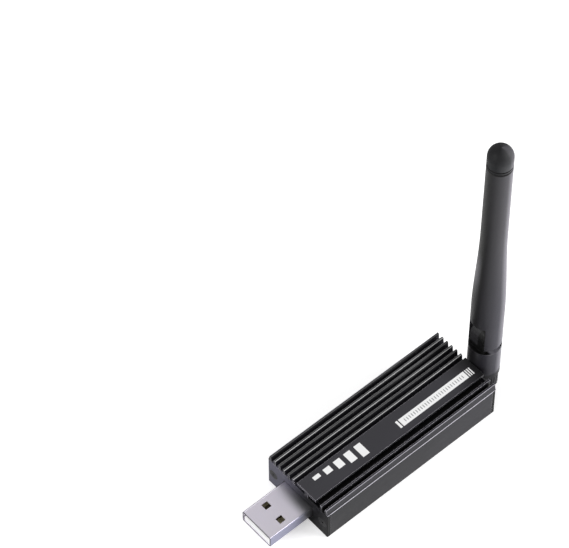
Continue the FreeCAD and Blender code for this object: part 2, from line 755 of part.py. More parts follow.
# Jack: turned about the Y axis, so each section is (y, radius)
def make_jack():
    place = ("AntennaSide", REAR, "CoreHeight")
    flange_front = "( PlateThickness + FlangeSetback )"
    flange_end = "( PlateThickness + FlangeThickness )"
    body = new_body("antenna_jack_body", place)
    flange = sketch_on(body, "XZ_Plane", "flange", flange_front)
    rectangle(
        flange, "0 - FlangeWidth / 2", "0 - FlangeHeight / 2", "FlangeWidth / 2", "FlangeHeight / 2")
    pad(body, flange, "FlangeThickness")
    legs = sketch_on(body, "XZ_Plane", "legs", flange_end)
    for left in ("0 - LegSpread - LegSize / 2", "LegSpread - LegSize / 2"):
        for low in ("BoardThickness / 2", "0 - BoardThickness / 2 - LegSize"):
            rectangle(legs, left, low, f"{left} + LegSize", f"{low} + LegSize")
    pad(body, legs, "LegLength")
    barrel = sketch_on(body, "YZ_Plane", "barrel")
    outline(barrel, [
        (f"0 - {flange_end}", "0"),
        ("JackReach", "0"),
        ("JackReach", "JackRadius - JackBevel"),
        ("JackReach - JackBevel", "JackRadius"),
        (f"0 - {flange_front}", "JackRadius"),
        (f"0 - {flange_front}", "InsulatorRadius + JackBevel"),
        (f"0 - {flange_end}", "InsulatorRadius + JackBevel"),
    ])
    revolve(body, barrel, "H_Axis")
    bore = sketch_on(body, "XZ_Plane", "bore")
    circle(bore, "0", "0", "InsulatorRadius")
    pocket(body, bore, "HousingLength", centred=True)
    mouth = sketch_on(body, "XZ_Plane", "mouth", "0 - JackReach - JackMouthDepth")
    circle(mouth, "0", "0", "JackMouthRadius")
    pocket(body, mouth, "2 * JackMouthDepth", back=True)

    seat = "( JackReach - JackMouthDepth )"
    tail = "( 0 - InsulatorTail )"
    turned("jack_insulator", [
        (tail, "SocketRadius"), (seat, "SocketRadius"),
        (seat, "InsulatorRadius"), (tail, "InsulatorRadius"),
    ], place, "H_Axis")

    contact = turned("jack_contact", [
        ("0 - SocketTail", "0"), ("SocketFloor", "0"), ("SocketFloor", "SocketBore"),
        (seat, "SocketBore"), (seat, "SocketRadius"), ("0 - SocketTail", "SocketRadius"),
    ], place, "H_Axis")
    tab = sketch_on(contact, "YZ_Plane", "tab")
    board_edge = f"( BoardRear - {REAR} + RunningGap )"
    tab_start = f"( {board_edge} - SolderTabLength )"
    tab_end = f"( {tail} - SolderTabHeight / 2 )"
    tab_low = "( BoardThickness / 2 )"
    tab_top = f"( {tab_low} + SolderTabHeight )"
    outline(tab, [
        (tab_end, "0"), (tab_end, tab_top),
        (tab_start, tab_top), (tab_start, tab_low),
        (board_edge, tab_low), (board_edge, "0"),
    ])
    pad(contact, tab, "SolderTabWidth", centred=True)


def notch_outline(radius, depth):
    """A vee that cuts into a round piece at the top of the sketch."""
    return [
        ("0 - NotchHalfWidth", f"{radius} + NotchRelief"),
        ("0", f"{radius} - {depth}"),
        ("NotchHalfWidth", f"{radius} + NotchRelief"),
    ]


def make_coupling_nut():
    """A threaded sleeve that the elbow's collar hides. Its back holds the ferrule's flange."""
    lip = "( JackReach + NutLip )"
    end = f"( {lip} + NutWall )"
    bore = "( JackRadius + RunningGap )"
    neck = "( FerruleRadius + RunningGap )"
    turned("coupling_nut", [
        ("NutSetback", bore), (lip, bore), (lip, neck), (end, neck), (end, "NutRadius - NutBevel"),
        (f"{end} - NutBevel", "NutRadius"), ("NutSetback + NutBevel", "NutRadius"),
        ("NutSetback", "NutRadius - NutBevel"),
    ], ("AntennaSide", REAR, "CoreHeight"), "H_Axis")


def make_antenna_connector():
    """The antenna's own half of the joint: ferrule, insulator and centre pin."""
    place = ("AntennaSide", REAR, "CoreHeight")
    nose = "( JackReach - JackMouthDepth + 2 * RunningGap )"
    flange = "( JackReach + ContactSlack )"
    flange_end = "( JackReach + FerruleFlange )"
    back = "( JackReach + FerruleTail )"
    insulator_back = flange_end
    pin_back = f"( {insulator_back} + 2 * PinTipLength )"
    pin_nose = "( SocketFloor + PinTipLength )"
    ferrule = turned("antenna_ferrule", [
        (nose, "FerruleBore"), (back, "FerruleBore"), (back, "FerruleRadius"),
        (flange_end, "FerruleRadius"), (flange_end, "JackRadius - 2 * RunningGap"),
        (flange, "JackRadius - 2 * RunningGap"), (flange, "JackMouthRadius - RunningGap"),
        (nose, "JackMouthRadius - RunningGap"),
    ], place, "H_Axis")
    wire_hole = sketch_on(ferrule, "XY_Plane", "wire_hole")
    circle(wire_hole, "0", "WhipSetback + WireWayOffset", "WireWayRadius")
    pocket(ferrule, wire_hole, "2 * FerruleRadius", back=True)
    turned("antenna_insulator", [
        (nose, "PinRadius"), (insulator_back, "PinRadius"),
        (insulator_back, "FerruleBore"), (nose, "FerruleBore"),
    ], place, "H_Axis")
    turned("antenna_pin", [
        (pin_nose, "0"), (pin_back, "0"), (pin_back, "PinRadius"),
        (f"{pin_nose} + PinTipLength", "PinRadius"), (pin_nose, "PinTipRadius"),
    ], place, "H_Axis")


# Antenna elbow: turns about the jack, and carries the hinge
def make_elbow():
    body = new_body("antenna_elbow", ("AntennaSide", WHIP_Y, "0"))
    foot_end = "( ElbowFoot + RibHeight )"
    foot = sketch_on(body, "XY_Plane", "foot", "ElbowFoot")
    circle(foot, "0", "0", "GripRadius")
    pad(body, foot, "RibHeight")
    # Grip ribs round the foot, which screw the antenna on
    grip = sketch_on(body, "XY_Plane", "grip", "0")
    outline(grip, notch_outline("GripRadius", "RibDepth"))
    notch = pocket(body, grip, foot_end, back=True)
    repeat_round(body, notch, "Z_Axis", "RibCount")

    column = sketch_on(body, "XY_Plane", "column", foot_end)
    circle(column, "0", "0", "WhipRadius")
    pad(body, column, f"ElbowTop - {foot_end}")
    collar = sketch_on(body, "XZ_Plane", "collar")
    circle(collar, "0", "CoreHeight", "CollarRadius")
    pad(body, collar, "WhipRadius")

    # The rim dips between the hinge's sides, so the fork's foot can swing through
    dish = sketch_on(body, "YZ_Plane", "dish")
    circle(dish, "0", "HingeHeight", "DishRadius")
    pocket(body, dish, "2 * WhipRadius + 2", centred=True)

    tongue = sketch_on(body, "YZ_Plane", "tongue")
    outline(tongue, [
        ("0 - TongueHalfDepth", "ElbowTop - WhipRadius"),
        ("TongueHalfDepth", "ElbowTop - WhipRadius"),
        ("TongueHalfDepth", "HingeHeight"),
        ("0", "HingeHeight + TongueHalfDepth", "TongueHalfDepth"),
        ("0 - TongueHalfDepth", "HingeHeight", "TongueHalfDepth"),
    ])
    pad(body, tongue, "TongueWidth", centred=True)
    trunnion = sketch_on(body, "YZ_Plane", "trunnion")
    circle(trunnion, "0", "HingeHeight", "TrunnionRadius")
    pad(body, trunnion, "TrunnionSpan", centred=True)

    # Both bores start in front of the collar, measured from the column's middle
    open_front = "( 2 * WhipRadius )"
    nut_end = "( JackReach + NutLip + NutWall + 4 * RunningGap - WhipSetback )"
    ferrule_end = "( JackReach + FerruleTail - WhipSetback )"
    nut_room = sketch_on(body, "XZ_Plane", "nut_room", open_front)
    circle(nut_room, "0", "CoreHeight", "NutRadius + RunningGap")
    pocket(body, nut_room, f"{open_front} + {nut_end}")
    seat = sketch_on(body, "XZ_Plane", "ferrule_seat", open_front)
    circle(seat, "0", "CoreHeight", "FerruleRadius")
    pocket(body, seat, f"{open_front} + {ferrule_end}")
    wire_way = sketch_on(body, "XY_Plane", "wire_way", "CoreHeight")
    circle(wire_way, "0", "WireWayOffset", "WireWayRadius")
    pocket(body, wire_way, "SleeveTop", back=True)
    cap_seat = sketch_on(body, "XY_Plane", "cap_seat", "0")
    circle(cap_seat, "0", "0", "FootBoreRadius")
    pocket(body, cap_seat, "ElbowFoot + FootBoreDepth", back=True)


def make_elbow_cap():
    body = new_body("elbow_cap", ("AntennaSide", WHIP_Y, "ElbowFoot"))
    disc = sketch_on(body, "XY_Plane", "disc")
    circle(disc, "0", "0", "FootCapRadius")
    pad(body, disc, "FootCapThickness")


# Whip: a hollow sleeve that ends in a fork below and takes a domed cap above
def make_whip():
    place = ("AntennaSide", WHIP_Y, "0")
    middle_radius = "( ( WhipRadius + WhipWaistRadius ) / 2 )"
    middle_height = "( ( TaperStart + TaperEnd ) / 2 )"
    half_run = "( ( TaperEnd - TaperStart ) / 2 )"
    half_drop = "( ( WhipRadius - WhipWaistRadius ) / 2 )"
    sweep = f"( ( {half_run} * {half_run} + {half_drop} * {half_drop} ) / ( 2 * {half_drop} ) )"
    well = "( SleeveTop - SpigotWell )"
    body = turned("antenna_sleeve", [
        ("0", "SeamHeight"),
        ("WhipRadius", "SeamHeight"),
        ("WhipRadius", "TaperStart"),
        (middle_radius, middle_height, sweep),
        ("WhipWaistRadius", "TaperEnd", sweep, "clockwise"),
        ("WhipTipRadius", "SleeveTop - SeamBevel"),
        ("WhipTipRadius - SeamBevel", "SleeveTop"),
        ("SpigotRadius", "SleeveTop"),
        ("SpigotRadius", well),
        ("RadiatorRadius", well),
        ("RadiatorRadius", "ForkTop"),
        ("0", "ForkTop"),
    ], place)
    # The fork's slot is open at both sides, so the whip can lie back in line with the jack
    slot = sketch_on(body, "YZ_Plane", "slot")
    rectangle(slot, "0 - 2 * WhipRadius", "ElbowFoot", "2 * WhipRadius", "ForkTop")
    pocket(body, slot, "ForkSlot", centred=True)
    sockets = sketch_on(body, "YZ_Plane", "sockets")
    circle(sockets, "0", "HingeHeight", "TrunnionRadius + RunningGap")
    pocket(body, sockets, "TrunnionSpan + 4 * RunningGap", centred=True)

    spigot_end = "( SleeveTop - SpigotLength )"
    groove = "( SleeveTop + SeamBevel + CapBandHeight )"
    groove_top = f"( {groove} + CapGrooveDepth )"
    rod_well_end = "( SleeveTop + RodWellEnd )"
    turned("antenna_tip_cap", [
        ("RodRadius", spigot_end),
        ("SpigotRadius", spigot_end),
        ("SpigotRadius", "SleeveTop"),
        ("WhipTipRadius - SeamBevel", "SleeveTop"),
        ("WhipTipRadius", "SleeveTop + SeamBevel"),
        ("WhipTipRadius", f"{groove} - SeamBevel"),
        ("WhipTipRadius - CapGrooveDepth", groove),
        ("WhipTipRadius - CapGrooveDepth", groove_top),
        ("WhipTipRadius", f"{groove_top} + SeamBevel"),
        ("WhipTipRadius", "TipTop - WhipTipRadius"),
        ("0", "TipTop", "WhipTipRadius"),
        ("0", rod_well_end),
        ("RodRadius", rod_well_end),
    ], place)

    turned("antenna_radiator", [
        ("0", "ForkTop + RadiatorStart"),
        ("RadiatorNeck", "ForkTop + RadiatorStart"),
        ("RadiatorNeck", "ForkTop + RadiatorShoulder"),
        ("RadiatorRadius", "ForkTop + RadiatorShoulder"),
        ("RadiatorRadius", "ForkTop + RadiatorEnd"),
        ("RodRadius", "ForkTop + RadiatorEnd"),
        ("RodRadius", "SleeveTop + RodEnd"),
        ("0", "SleeveTop + RodEnd"),
    ], place)


def check_everything():
    """Refuse a failed object, and a sub-part that is no valid closed shape."""
    doc.recompute()
    for thing in doc.Objects:
        if {"Invalid", "Error"} & set(thing.State):
            raise RuntimeError(f"{thing.Name} failed: {thing.State}")
    for thing in nodes:
        shape = thing.Shape
        if shape.isNull() or not shape.isValid() or not shape.Solids:
            raise RuntimeError(f"{thing.Label} has no valid solid")


def write_nodes():
    os.makedirs("parts", exist_ok=True)
    for thing in nodes:
        thing.Shape.exportStep(f"parts/{thing.Label}.step")
        bounds = thing.Shape.BoundBox
        print(f"{thing.Label}: {len(thing.Shape.Solids)} solid(s), {thing.Shape.Volume:.2f} mm3, "
              f"x {bounds.XMin:.2f}..{bounds.XMax:.2f}, y {bounds.YMin:.2f}..{bounds.YMax:.2f}, "
              f"z {bounds.ZMin:.2f}..{bounds.ZMax:.2f}")


make_housing()
make_end_plates()
make_screws("front_plate_screws", FRONT, -1)
make_screws("rear_plate_screws", REAR, 1)
make_usb_shell()
make_plug_body()
for contact_name, contact_spread in CONTACT_SPREADS.items():
    nose_depth = "1.1" if "Outer" in contact_spread else "2.1"
    make_contact(contact_name, contact_spread, nose_depth)
make_circuit_board()
make_components()
make_switch("boot", "( 0 - SwitchSpread )")
make_switch("reset", "SwitchSpread")
make_jack()
make_coupling_nut()
make_antenna_connector()
make_elbow()
make_elbow_cap()
make_whip()
check_everything()
write_nodes()
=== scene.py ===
# %% [markdown]
# A small usb radio stick stands on a pale floor: a finned dark housing, a flat plug and a whip
# antenna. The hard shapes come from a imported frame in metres, and this lesson dresses them piece
# by piece. Pieces that follow a rule are grown with Geometry Nodes, turned pieces are swept, and
# everything gets a finish mixed from procedural nodes. The frame is loaded first, because all
# places come from it.

# %% Load the frame
import json
import math

import bmesh
import bpy
from mathutils import Matrix, Vector


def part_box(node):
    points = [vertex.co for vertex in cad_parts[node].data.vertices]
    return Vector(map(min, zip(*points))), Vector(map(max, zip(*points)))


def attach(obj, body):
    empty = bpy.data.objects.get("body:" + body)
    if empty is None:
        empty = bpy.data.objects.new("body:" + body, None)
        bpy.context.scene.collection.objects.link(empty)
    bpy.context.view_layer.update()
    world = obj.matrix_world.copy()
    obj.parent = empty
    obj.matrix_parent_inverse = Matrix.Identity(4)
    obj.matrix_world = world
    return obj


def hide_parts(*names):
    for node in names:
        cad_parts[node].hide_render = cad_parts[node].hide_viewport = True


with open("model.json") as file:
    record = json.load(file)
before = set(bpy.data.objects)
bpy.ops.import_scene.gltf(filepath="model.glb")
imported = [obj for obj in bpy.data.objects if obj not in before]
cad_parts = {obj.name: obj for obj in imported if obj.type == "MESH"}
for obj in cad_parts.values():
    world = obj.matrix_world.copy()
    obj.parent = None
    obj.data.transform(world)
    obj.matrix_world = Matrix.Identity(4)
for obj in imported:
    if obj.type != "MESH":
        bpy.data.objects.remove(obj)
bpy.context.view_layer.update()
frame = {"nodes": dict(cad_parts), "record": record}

NODES = frame["nodes"]
MM = 0.001
SLEEVE_LOW, SLEEVE_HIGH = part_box("antenna_sleeve")
WHIP_X, WHIP_Y, _ = (SLEEVE_LOW + SLEEVE_HIGH) / 2
print("nodes:", len(NODES))

# %% [markdown]
# The camera stands high on the plug's side and looks down along the fins with a long lens, so that
# parallel edges stay nearly parallel. Its place was solved from corners that can be pointed at in
# the picture, and it is written as one position, one direction from the object to the lens, and a
# small roll.

# %% Camera
CAMERA_PLACE = Vector((0.34652, -0.33419, 0.75287))
CAMERA_BACK = Vector((0.44342, -0.38062, 0.81151)).normalized()
CAMERA_ROLL = math.radians(-0.4872)
FOCAL_PIXELS = 3074.992
FRAME_PIXELS = 569
SENSOR = 36.0

camera_data = bpy.data.cameras.new("camera")
camera = bpy.data.objects.new("camera", camera_data)
bpy.context.scene.collection.objects.link(camera)
camera_data.sensor_width = SENSOR
camera_data.lens = SENSOR * FOCAL_PIXELS / FRAME_PIXELS
camera_data.clip_start, camera_data.clip_end = 0.05, 10.0

level_right = (-CAMERA_BACK).cross(Vector((0, 0, 1))).normalized()
level_up = level_right.cross(-CAMERA_BACK)
right = math.cos(CAMERA_ROLL) * level_right + math.sin(CAMERA_ROLL) * level_up
up = math.cos(CAMERA_ROLL) * level_up - math.sin(CAMERA_ROLL) * level_right
turn = Matrix((right, up, CAMERA_BACK)).transposed().to_4x4()
camera.matrix_world = Matrix.Translation(CAMERA_PLACE) @ turn
bpy.context.scene.camera = camera
bpy.context.scene.view_settings.view_transform = "Standard"
print("lens in mm:", round(camera_data.lens, 1))

# %% [markdown]
# Everything below is made of nodes, so two small tools come first. `add` puts a node into a tree
# and fills its inputs, either with numbers or with wires from other nodes. `Wire` wraps an output,
# so that sums and products of sizes can be written as plain arithmetic and still end up as Math
# nodes.

# %% Node tools
def plug(tree, socket, value):
    """Link a wire or an output to an input, or set the input's number."""
    if isinstance(value, Wire):
        value = value.socket
    if isinstance(value, bpy.types.NodeSocket):
        tree.links.new(value, socket)
    else:
        socket.default_value = value


def add(tree, kind, inputs=None, **settings):
    """Put a node into a tree. A list links several outputs to one input."""
    node = tree.nodes.new(kind)
    for name, setting in settings.items():
        setattr(node, name, setting)
    for name, value in (inputs or {}).items():
        for item in value if isinstance(value, list) else [value]:
            plug(tree, node.inputs[name], item)
    return node


def reckon(tree, operation, first, second=0.0):
    """One Math node, from numbers or wires."""
    node = add(tree, "ShaderNodeMath", {0: first, 1: second}, operation=operation)
    return Wire(tree, node.outputs[0])


class Wire:
    """One output of a node, ready for arithmetic."""

    def __init__(self, tree, socket):
        self.tree, self.socket = tree, socket

    def __add__(self, other):
        return reckon(self.tree, "ADD", self, other)

    def __sub__(self, other):
        return reckon(self.tree, "SUBTRACT", self, other)

    def __rsub__(self, other):
        return reckon(self.tree, "SUBTRACT", other, self)

    def __mul__(self, other):
        return reckon(self.tree, "MULTIPLY", self, other)

    def __truediv__(self, other):
        return reckon(self.tree, "DIVIDE", self, other)

    def ramp(self, start, stop, low, high, style="LINEAR"):
        """Map this value from start..stop to low..high."""
        node = add(
            self.tree, "ShaderNodeMapRange",
            {"From Min": start, "From Max": stop, "To Min": low, "To Max": high, "Value": self},
            interpolation_type=style)
        return Wire(self.tree, node.outputs[0])


def vector(tree, x, y, z):
    """Join three numbers into a vector."""
    return add(tree, "ShaderNodeCombineXYZ", {"X": x, "Y": y, "Z": z}).outputs[0]


def parts_of(tree, socket):
    """Split a vector into three wires."""
    node = add(tree, "ShaderNodeSeparateXYZ", {0: socket})
    return [Wire(tree, output) for output in node.outputs]


print("node tools ready")

# %% [markdown]
# A Geometry Nodes tree is a recipe with named inputs. `recipe` opens one, `cook` runs it on an
# empty mesh and keeps the result as a plain mesh, because later steps and other programs can't
# read a live recipe. Every recipe ends in Realize Instances and Set Material.

# %% Geometry recipes
def recipe(name, sizes):
    """Start a geometry tree with named number inputs, given in metres or counts."""
    tree = bpy.data.node_groups.new(name, "GeometryNodeTree")
    for label, size in sizes.items():
        kind = "NodeSocketInt" if isinstance(size, int) else "NodeSocketFloat"
        socket = tree.interface.new_socket(label, in_out="INPUT", socket_type=kind)
        socket.default_value = size
    tree.interface.new_socket("Material", in_out="INPUT", socket_type="NodeSocketMaterial")
    tree.interface.new_socket("Geometry", in_out="OUTPUT", socket_type="NodeSocketGeometry")
    entry = tree.nodes.new("NodeGroupInput")
    wires = {label: Wire(tree, entry.outputs[label]) for label in sizes}
    wires["Material"] = entry.outputs["Material"]
    return tree, wires


def close_recipe(tree, wires, geometry):
    """End a tree: instances become real and get their material."""
    real = add(tree, "GeometryNodeRealizeInstances", {"Geometry": geometry})
    painted = add(tree, "GeometryNodeSetMaterial", {
        "Geometry": real.outputs[0], "Material": wires["Material"]})
    exit_node = tree.nodes.new("NodeGroupOutput")
    tree.links.new(painted.outputs[0], exit_node.inputs[0])
    return tree


def cook(tree, name, material, sizes=None):
    """Run a recipe and keep a plain mesh object with merged corners."""
    holder = bpy.data.objects.new(f"{name}_recipe", bpy.data.meshes.new(f"{name}_recipe"))
    bpy.context.scene.collection.objects.link(holder)
    modifier = holder.modifiers.new("recipe", "NODES")
    modifier.node_group = tree
    for item in tree.interface.items_tree:
        if item.in_out == "INPUT" and item.name in (sizes or {}):
            modifier[item.identifier] = sizes[item.name]
        if item.in_out == "INPUT" and item.name == "Material":
            modifier[item.identifier] = material
    graph = bpy.context.evaluated_depsgraph_get()
    mesh = bpy.data.meshes.new_from_object(holder.evaluated_get(graph))
    bpy.data.objects.remove(holder)
    mesh.name = name
    piece = bpy.data.objects.new(name, mesh)
    bpy.context.scene.collection.objects.link(piece)
    weld(mesh)
    mesh.materials.clear()
    mesh.materials.append(material)
    return piece


def weld(mesh, distance=1e-7):
    """Merge doubled corners and turn all faces outwards."""
    work = bmesh.new()
    work.from_mesh(mesh)
    bmesh.ops.remove_doubles(work, verts=work.verts, dist=distance)
    bmesh.ops.recalc_face_normals(work, faces=work.faces)
    work.to_mesh(mesh)
    work.free()


def smooth(piece, degrees=30.0):
    """Shade smoothly, with edges sharper than an angle kept crisp."""
    for face in piece.data.polygons:
        face.use_smooth = True
    piece.data.set_sharp_from_angle(angle=math.radians(degrees))
    return piece


def bevel(piece, width, segments=2, degrees=30.0):
    """Round the crisp edges with a live Bevel modifier."""
    modifier = piece.modifiers.new("bevel", "BEVEL")
    modifier.width = width
    modifier.segments = segments
    modifier.limit_method = "ANGLE"
    modifier.angle_limit = math.radians(degrees)
    modifier.harden_normals = True
    return piece


def settle(piece, body, nodes=()):
    """Parent a finished piece to the body it rides on and hide the CAD nodes that it replaces."""
    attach(piece, body)
    if nodes:
        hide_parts(*nodes)
    print(f"{piece.name}: {len(piece.data.polygons)} faces, rides on {body}")


print("recipe tools ready")

# %% [markdown]
# The floor is plain and pale. Soft light comes from a white world and three large lamps: one high
# on the right that rims the whip, one over the plug, and a weak one from the left. The floor adds
# a little light of its own to what the camera sees, so it looks white and still keeps the shadow.

# %% Floor and light
FLOOR_GLOW = 0.45
ROOM_LIGHT = 0.36


def floor_material():
    """A matt white that glows a little for the camera only."""
    material = bpy.data.materials.new("pale_floor")
    material.use_nodes = True
    tree = material.node_tree
    tree.nodes.clear()
    paint = add(tree, "ShaderNodeBsdfDiffuse", {"Color": (0.86, 0.86, 0.86, 1)})
    seen = Wire(tree, add(tree, "ShaderNodeLightPath").outputs["Is Camera Ray"])
    glow = add(tree, "ShaderNodeEmission", {"Color": (1, 1, 1, 1), "Strength": seen * FLOOR_GLOW})
    total = add(tree, "ShaderNodeAddShader", {0: paint.outputs[0], 1: glow.outputs[0]})
    add(tree, "ShaderNodeOutputMaterial", {"Surface": total.outputs[0]})
    return material


def flat_square(name, size, height):
    """A level square about the origin."""
    mesh = bpy.data.meshes.new(name)
    half = size / 2
    corners = ((-half, -half), (half, -half), (half, half), (-half, half))
    mesh.from_pydata([(x, y, height) for x, y in corners], [], [(0, 1, 2, 3)])
    square = bpy.data.objects.new(name, mesh)
    bpy.context.scene.collection.objects.link(square)
    return square


floor = flat_square("floor", 8.0, -0.02 * MM)
floor.data.materials.append(floor_material())

world = bpy.data.worlds.new("studio")
bpy.context.scene.world = world
world.use_nodes = True
sky = world.node_tree
sky.nodes.clear()
path = add(sky, "ShaderNodeLightPath")
soft = add(sky, "ShaderNodeBackground", {"Color": (1, 1, 1, 1), "Strength": ROOM_LIGHT})
white = add(sky, "ShaderNodeBackground", {"Color": (1, 1, 1, 1), "Strength": 1.0})
choice = add(sky, "ShaderNodeMixShader", {
    0: path.outputs["Is Camera Ray"], 1: soft.outputs[0], 2: white.outputs[0]})
add(sky, "ShaderNodeOutputWorld", {"Surface": choice.outputs[0]})


def lamp(name, place, aim, size, power):
    """A large square lamp at a place, turned towards a point."""
    data = bpy.data.lights.new(name, "AREA")
    data.size = size
    data.energy = power
    light = bpy.data.objects.new(name, data)
    bpy.context.scene.collection.objects.link(light)
    light.location = place
    light.rotation_euler = (Vector(aim) - Vector(place)).to_track_quat("-Z", "Y").to_euler()


MIDDLE = (0, 0.01, 0.03)
lamp("right_lamp", (0.65, 0.7, 0.45), MIDDLE, 0.6, 10.6)
lamp("plug_lamp", (-0.1, -0.9, 0.6), MIDDLE, 0.5, 5.9)
lamp("left_lamp", (-0.8, 0.2, 0.7), MIDDLE, 0.5, 1.5)
print("lamps:", [light.name for light in bpy.data.lights])

# %% [markdown]
# Real finishes are never one flat colour. What returns on many of them is built once as a shader
# group with its own inputs: fine grain, lines drawn along the metal, edges whose brighter tone is
# partly wear and partly a painted highlight, and a slow drift of tone, then ramps, level lines and
# boxes that say where on a piece something happens. Each group gives out only masks and values,
# and the shader itself stays in the material.

# %% Shader groups
def effect(name, inputs, outputs):
    """Start a shader group with named number inputs and outputs."""
    tree = bpy.data.node_groups.new(name, "ShaderNodeTree")
    for label, size in inputs.items():
        socket = tree.interface.new_socket(label, in_out="INPUT", socket_type="NodeSocketFloat")
        socket.default_value = size
    for label in outputs:
        tree.interface.new_socket(label, in_out="OUTPUT", socket_type="NodeSocketFloat")
    entry = tree.nodes.new("NodeGroupInput")
    wires = {label: Wire(tree, entry.outputs[label]) for label in inputs}
    return tree, wires, tree.nodes.new("NodeGroupOutput")


def object_place(tree, stretch=(1, 1, 1)):
    """Object coordinates, stretched for patterns that run one way."""
    place = add(tree, "ShaderNodeTexCoord").outputs["Object"]
    return add(tree, "ShaderNodeMapping", {"Vector": place, "Scale": stretch}).outputs[0]


def fine_grain():
    """Tiny pits: a value round 0.5 for roughness and a height for bumps."""
    tree, wires, end = effect("fine_grain", {"Scale": 4000.0}, ("Value", "Height"))
    coarse = add(tree, "ShaderNodeTexNoise", {
        "Vector": object_place(tree), "Scale": wires["Scale"], "Detail": 3.0, "Roughness": 0.6})
    plug(tree, end.inputs["Value"], coarse.outputs[0])
    cells = add(tree, "ShaderNodeTexVoronoi", {
        "Vector": object_place(tree), "Scale": wires["Scale"]}, feature="SMOOTH_F1")
    height = Wire(tree, coarse.outputs[0]) * 0.6 + Wire(tree, cells.outputs[0]) * 0.4
    plug(tree, end.inputs["Height"], height)
    return tree


def drawn_lines(axis):
    """Fine lines along one axis, as a die or a brush leaves them."""
    stretch = tuple(0.02 if letter == axis else 1.0 for letter in "xyz")
    tree, wires, end = effect(f"drawn_lines_{axis}", {"Scale": 2500.0}, ("Value", "Height"))
    lines = add(tree, "ShaderNodeTexNoise", {
        "Vector": object_place(tree, stretch), "Scale": wires["Scale"], "Detail": 2.0})
    plug(tree, end.inputs["Value"], lines.outputs[0])
    plug(tree, end.inputs["Height"], Wire(tree, lines.outputs[0]).ramp(0.3, 0.7, 0.0, 1.0))
    return tree


def worn_and_glinting_edges():
    """A mask along outer edges, broken up in patches: their tone is partly wear, partly painted
    highlight.
    """
    tree, wires, end = effect(
        "worn_and_glinting_edges", {"Radius": 0.0002, "Break Up": 0.5, "Scale": 900.0}, ("Mask",))
    rounded = add(tree, "ShaderNodeBevel", {"Radius": wires["Radius"]}, samples=6)
    flat = add(tree, "ShaderNodeNewGeometry").outputs["Normal"]
    likeness = add(tree, "ShaderNodeVectorMath", {
        0: rounded.outputs[0], 1: flat}, operation="DOT_PRODUCT")
    edge = Wire(tree, likeness.outputs["Value"]).ramp(0.99, 0.86, 0.0, 1.0, "SMOOTHSTEP")
    patches = add(tree, "ShaderNodeTexNoise", {
        "Vector": object_place(tree), "Scale": wires["Scale"], "Detail": 2.0})
    kept = Wire(tree, patches.outputs[0]).ramp(0.35, 0.65, 1.0 - wires["Break Up"], 1.0)
    plug(tree, end.inputs["Mask"], edge * kept)
    return tree


def slow_drift():
    """A broad, soft change of tone over the piece."""
    tree, wires, end = effect("slow_drift", {"Scale": 60.0}, ("Value",))
    clouds = add(tree, "ShaderNodeTexNoise", {
        "Vector": object_place(tree), "Scale": wires["Scale"], "Detail": 1.0})
    plug(tree, end.inputs["Value"], Wire(tree, clouds.outputs[0]).ramp(0.3, 0.7, 0.0, 1.0))
    return tree


def ramp_along(axis):
    """A value that runs from 0 to 1 between two places along one axis."""
    tree, wires, end = effect(f"ramp_along_{axis}", {"Start": 0.0, "Stop": 0.01}, ("Value",))
    place = parts_of(tree, add(tree, "ShaderNodeTexCoord").outputs["Object"])["xyz".index(axis)]
    plug(tree, end.inputs["Value"], place.ramp(
        wires["Start"], wires["Stop"], 0.0, 1.0, "SMOOTHSTEP"))
    return tree


def round_the_whip(direction):
    """A value from -1 to 1 round the whip's axis: 1 on the side that a direction points to."""
    tree, wires, end = effect("round_the_whip", {"Axis X": WHIP_X, "Axis Y": WHIP_Y}, ("Value",))
    x, y, _ = parts_of(tree, add(tree, "ShaderNodeTexCoord").outputs["Object"])
    x, y = x - wires["Axis X"], y - wires["Axis Y"]
    distance = reckon(tree, "SQRT", x * x + y * y)
    plug(tree, end.inputs["Value"], (x * direction[0] + y * direction[1]) / distance)
    return tree


def level_band():
    """A mask along a level edge: 1 at one height, outside a given distance from the middle."""
    tree, wires, end = effect(
        "level_band", {"Height": 0.01, "Half Width": 0.0001, "Beyond": 0.0125}, ("Mask",))
    x, _, z = parts_of(tree, add(tree, "ShaderNodeTexCoord").outputs["Object"])
    off = reckon(tree, "ABSOLUTE", z - wires["Height"])
    on_line = off.ramp(wires["Half Width"] * 0.5, wires["Half Width"], 1.0, 0.0)
    outside = reckon(tree, "GREATER_THAN", reckon(tree, "ABSOLUTE", x), wires["Beyond"])
    plug(tree, end.inputs["Mask"], on_line * outside)
    return tree


def crest_lines():
    """A mask for thin lines along the extrusion that return at an even pitch."""
    tree, wires, end = effect(
        "crest_lines", {"First": 0.0, "Pitch": 0.00198, "Half Width": 0.0001}, ("Mask",))
    x, _, _ = parts_of(tree, add(tree, "ShaderNodeTexCoord").outputs["Object"])
    off = reckon(tree, "PINGPONG", x - wires["First"], wires["Pitch"] * 0.5)
    plug(tree, end.inputs["Mask"], off.ramp(
        wires["Half Width"] * 0.5, wires["Half Width"], 1.0, 0.0))
    return tree


def inside_box():
    """A mask that is 1 between two places across and between two heights."""
    tree, wires, end = effect(
        "inside_box", {"Left": 0.0, "Right": 0.01, "Low": 0.0, "High": 0.01}, ("Mask",))
    x, _, z = parts_of(tree, add(tree, "ShaderNodeTexCoord").outputs["Object"])
    mask = reckon(tree, "GREATER_THAN", x, wires["Left"]) * reckon(
        tree, "LESS_THAN", x, wires["Right"])
    mask = mask * reckon(tree, "GREATER_THAN", z, wires["Low"]) * reckon(
        tree, "LESS_THAN", z, wires["High"])
    plug(tree, end.inputs["Mask"], mask)
    return tree


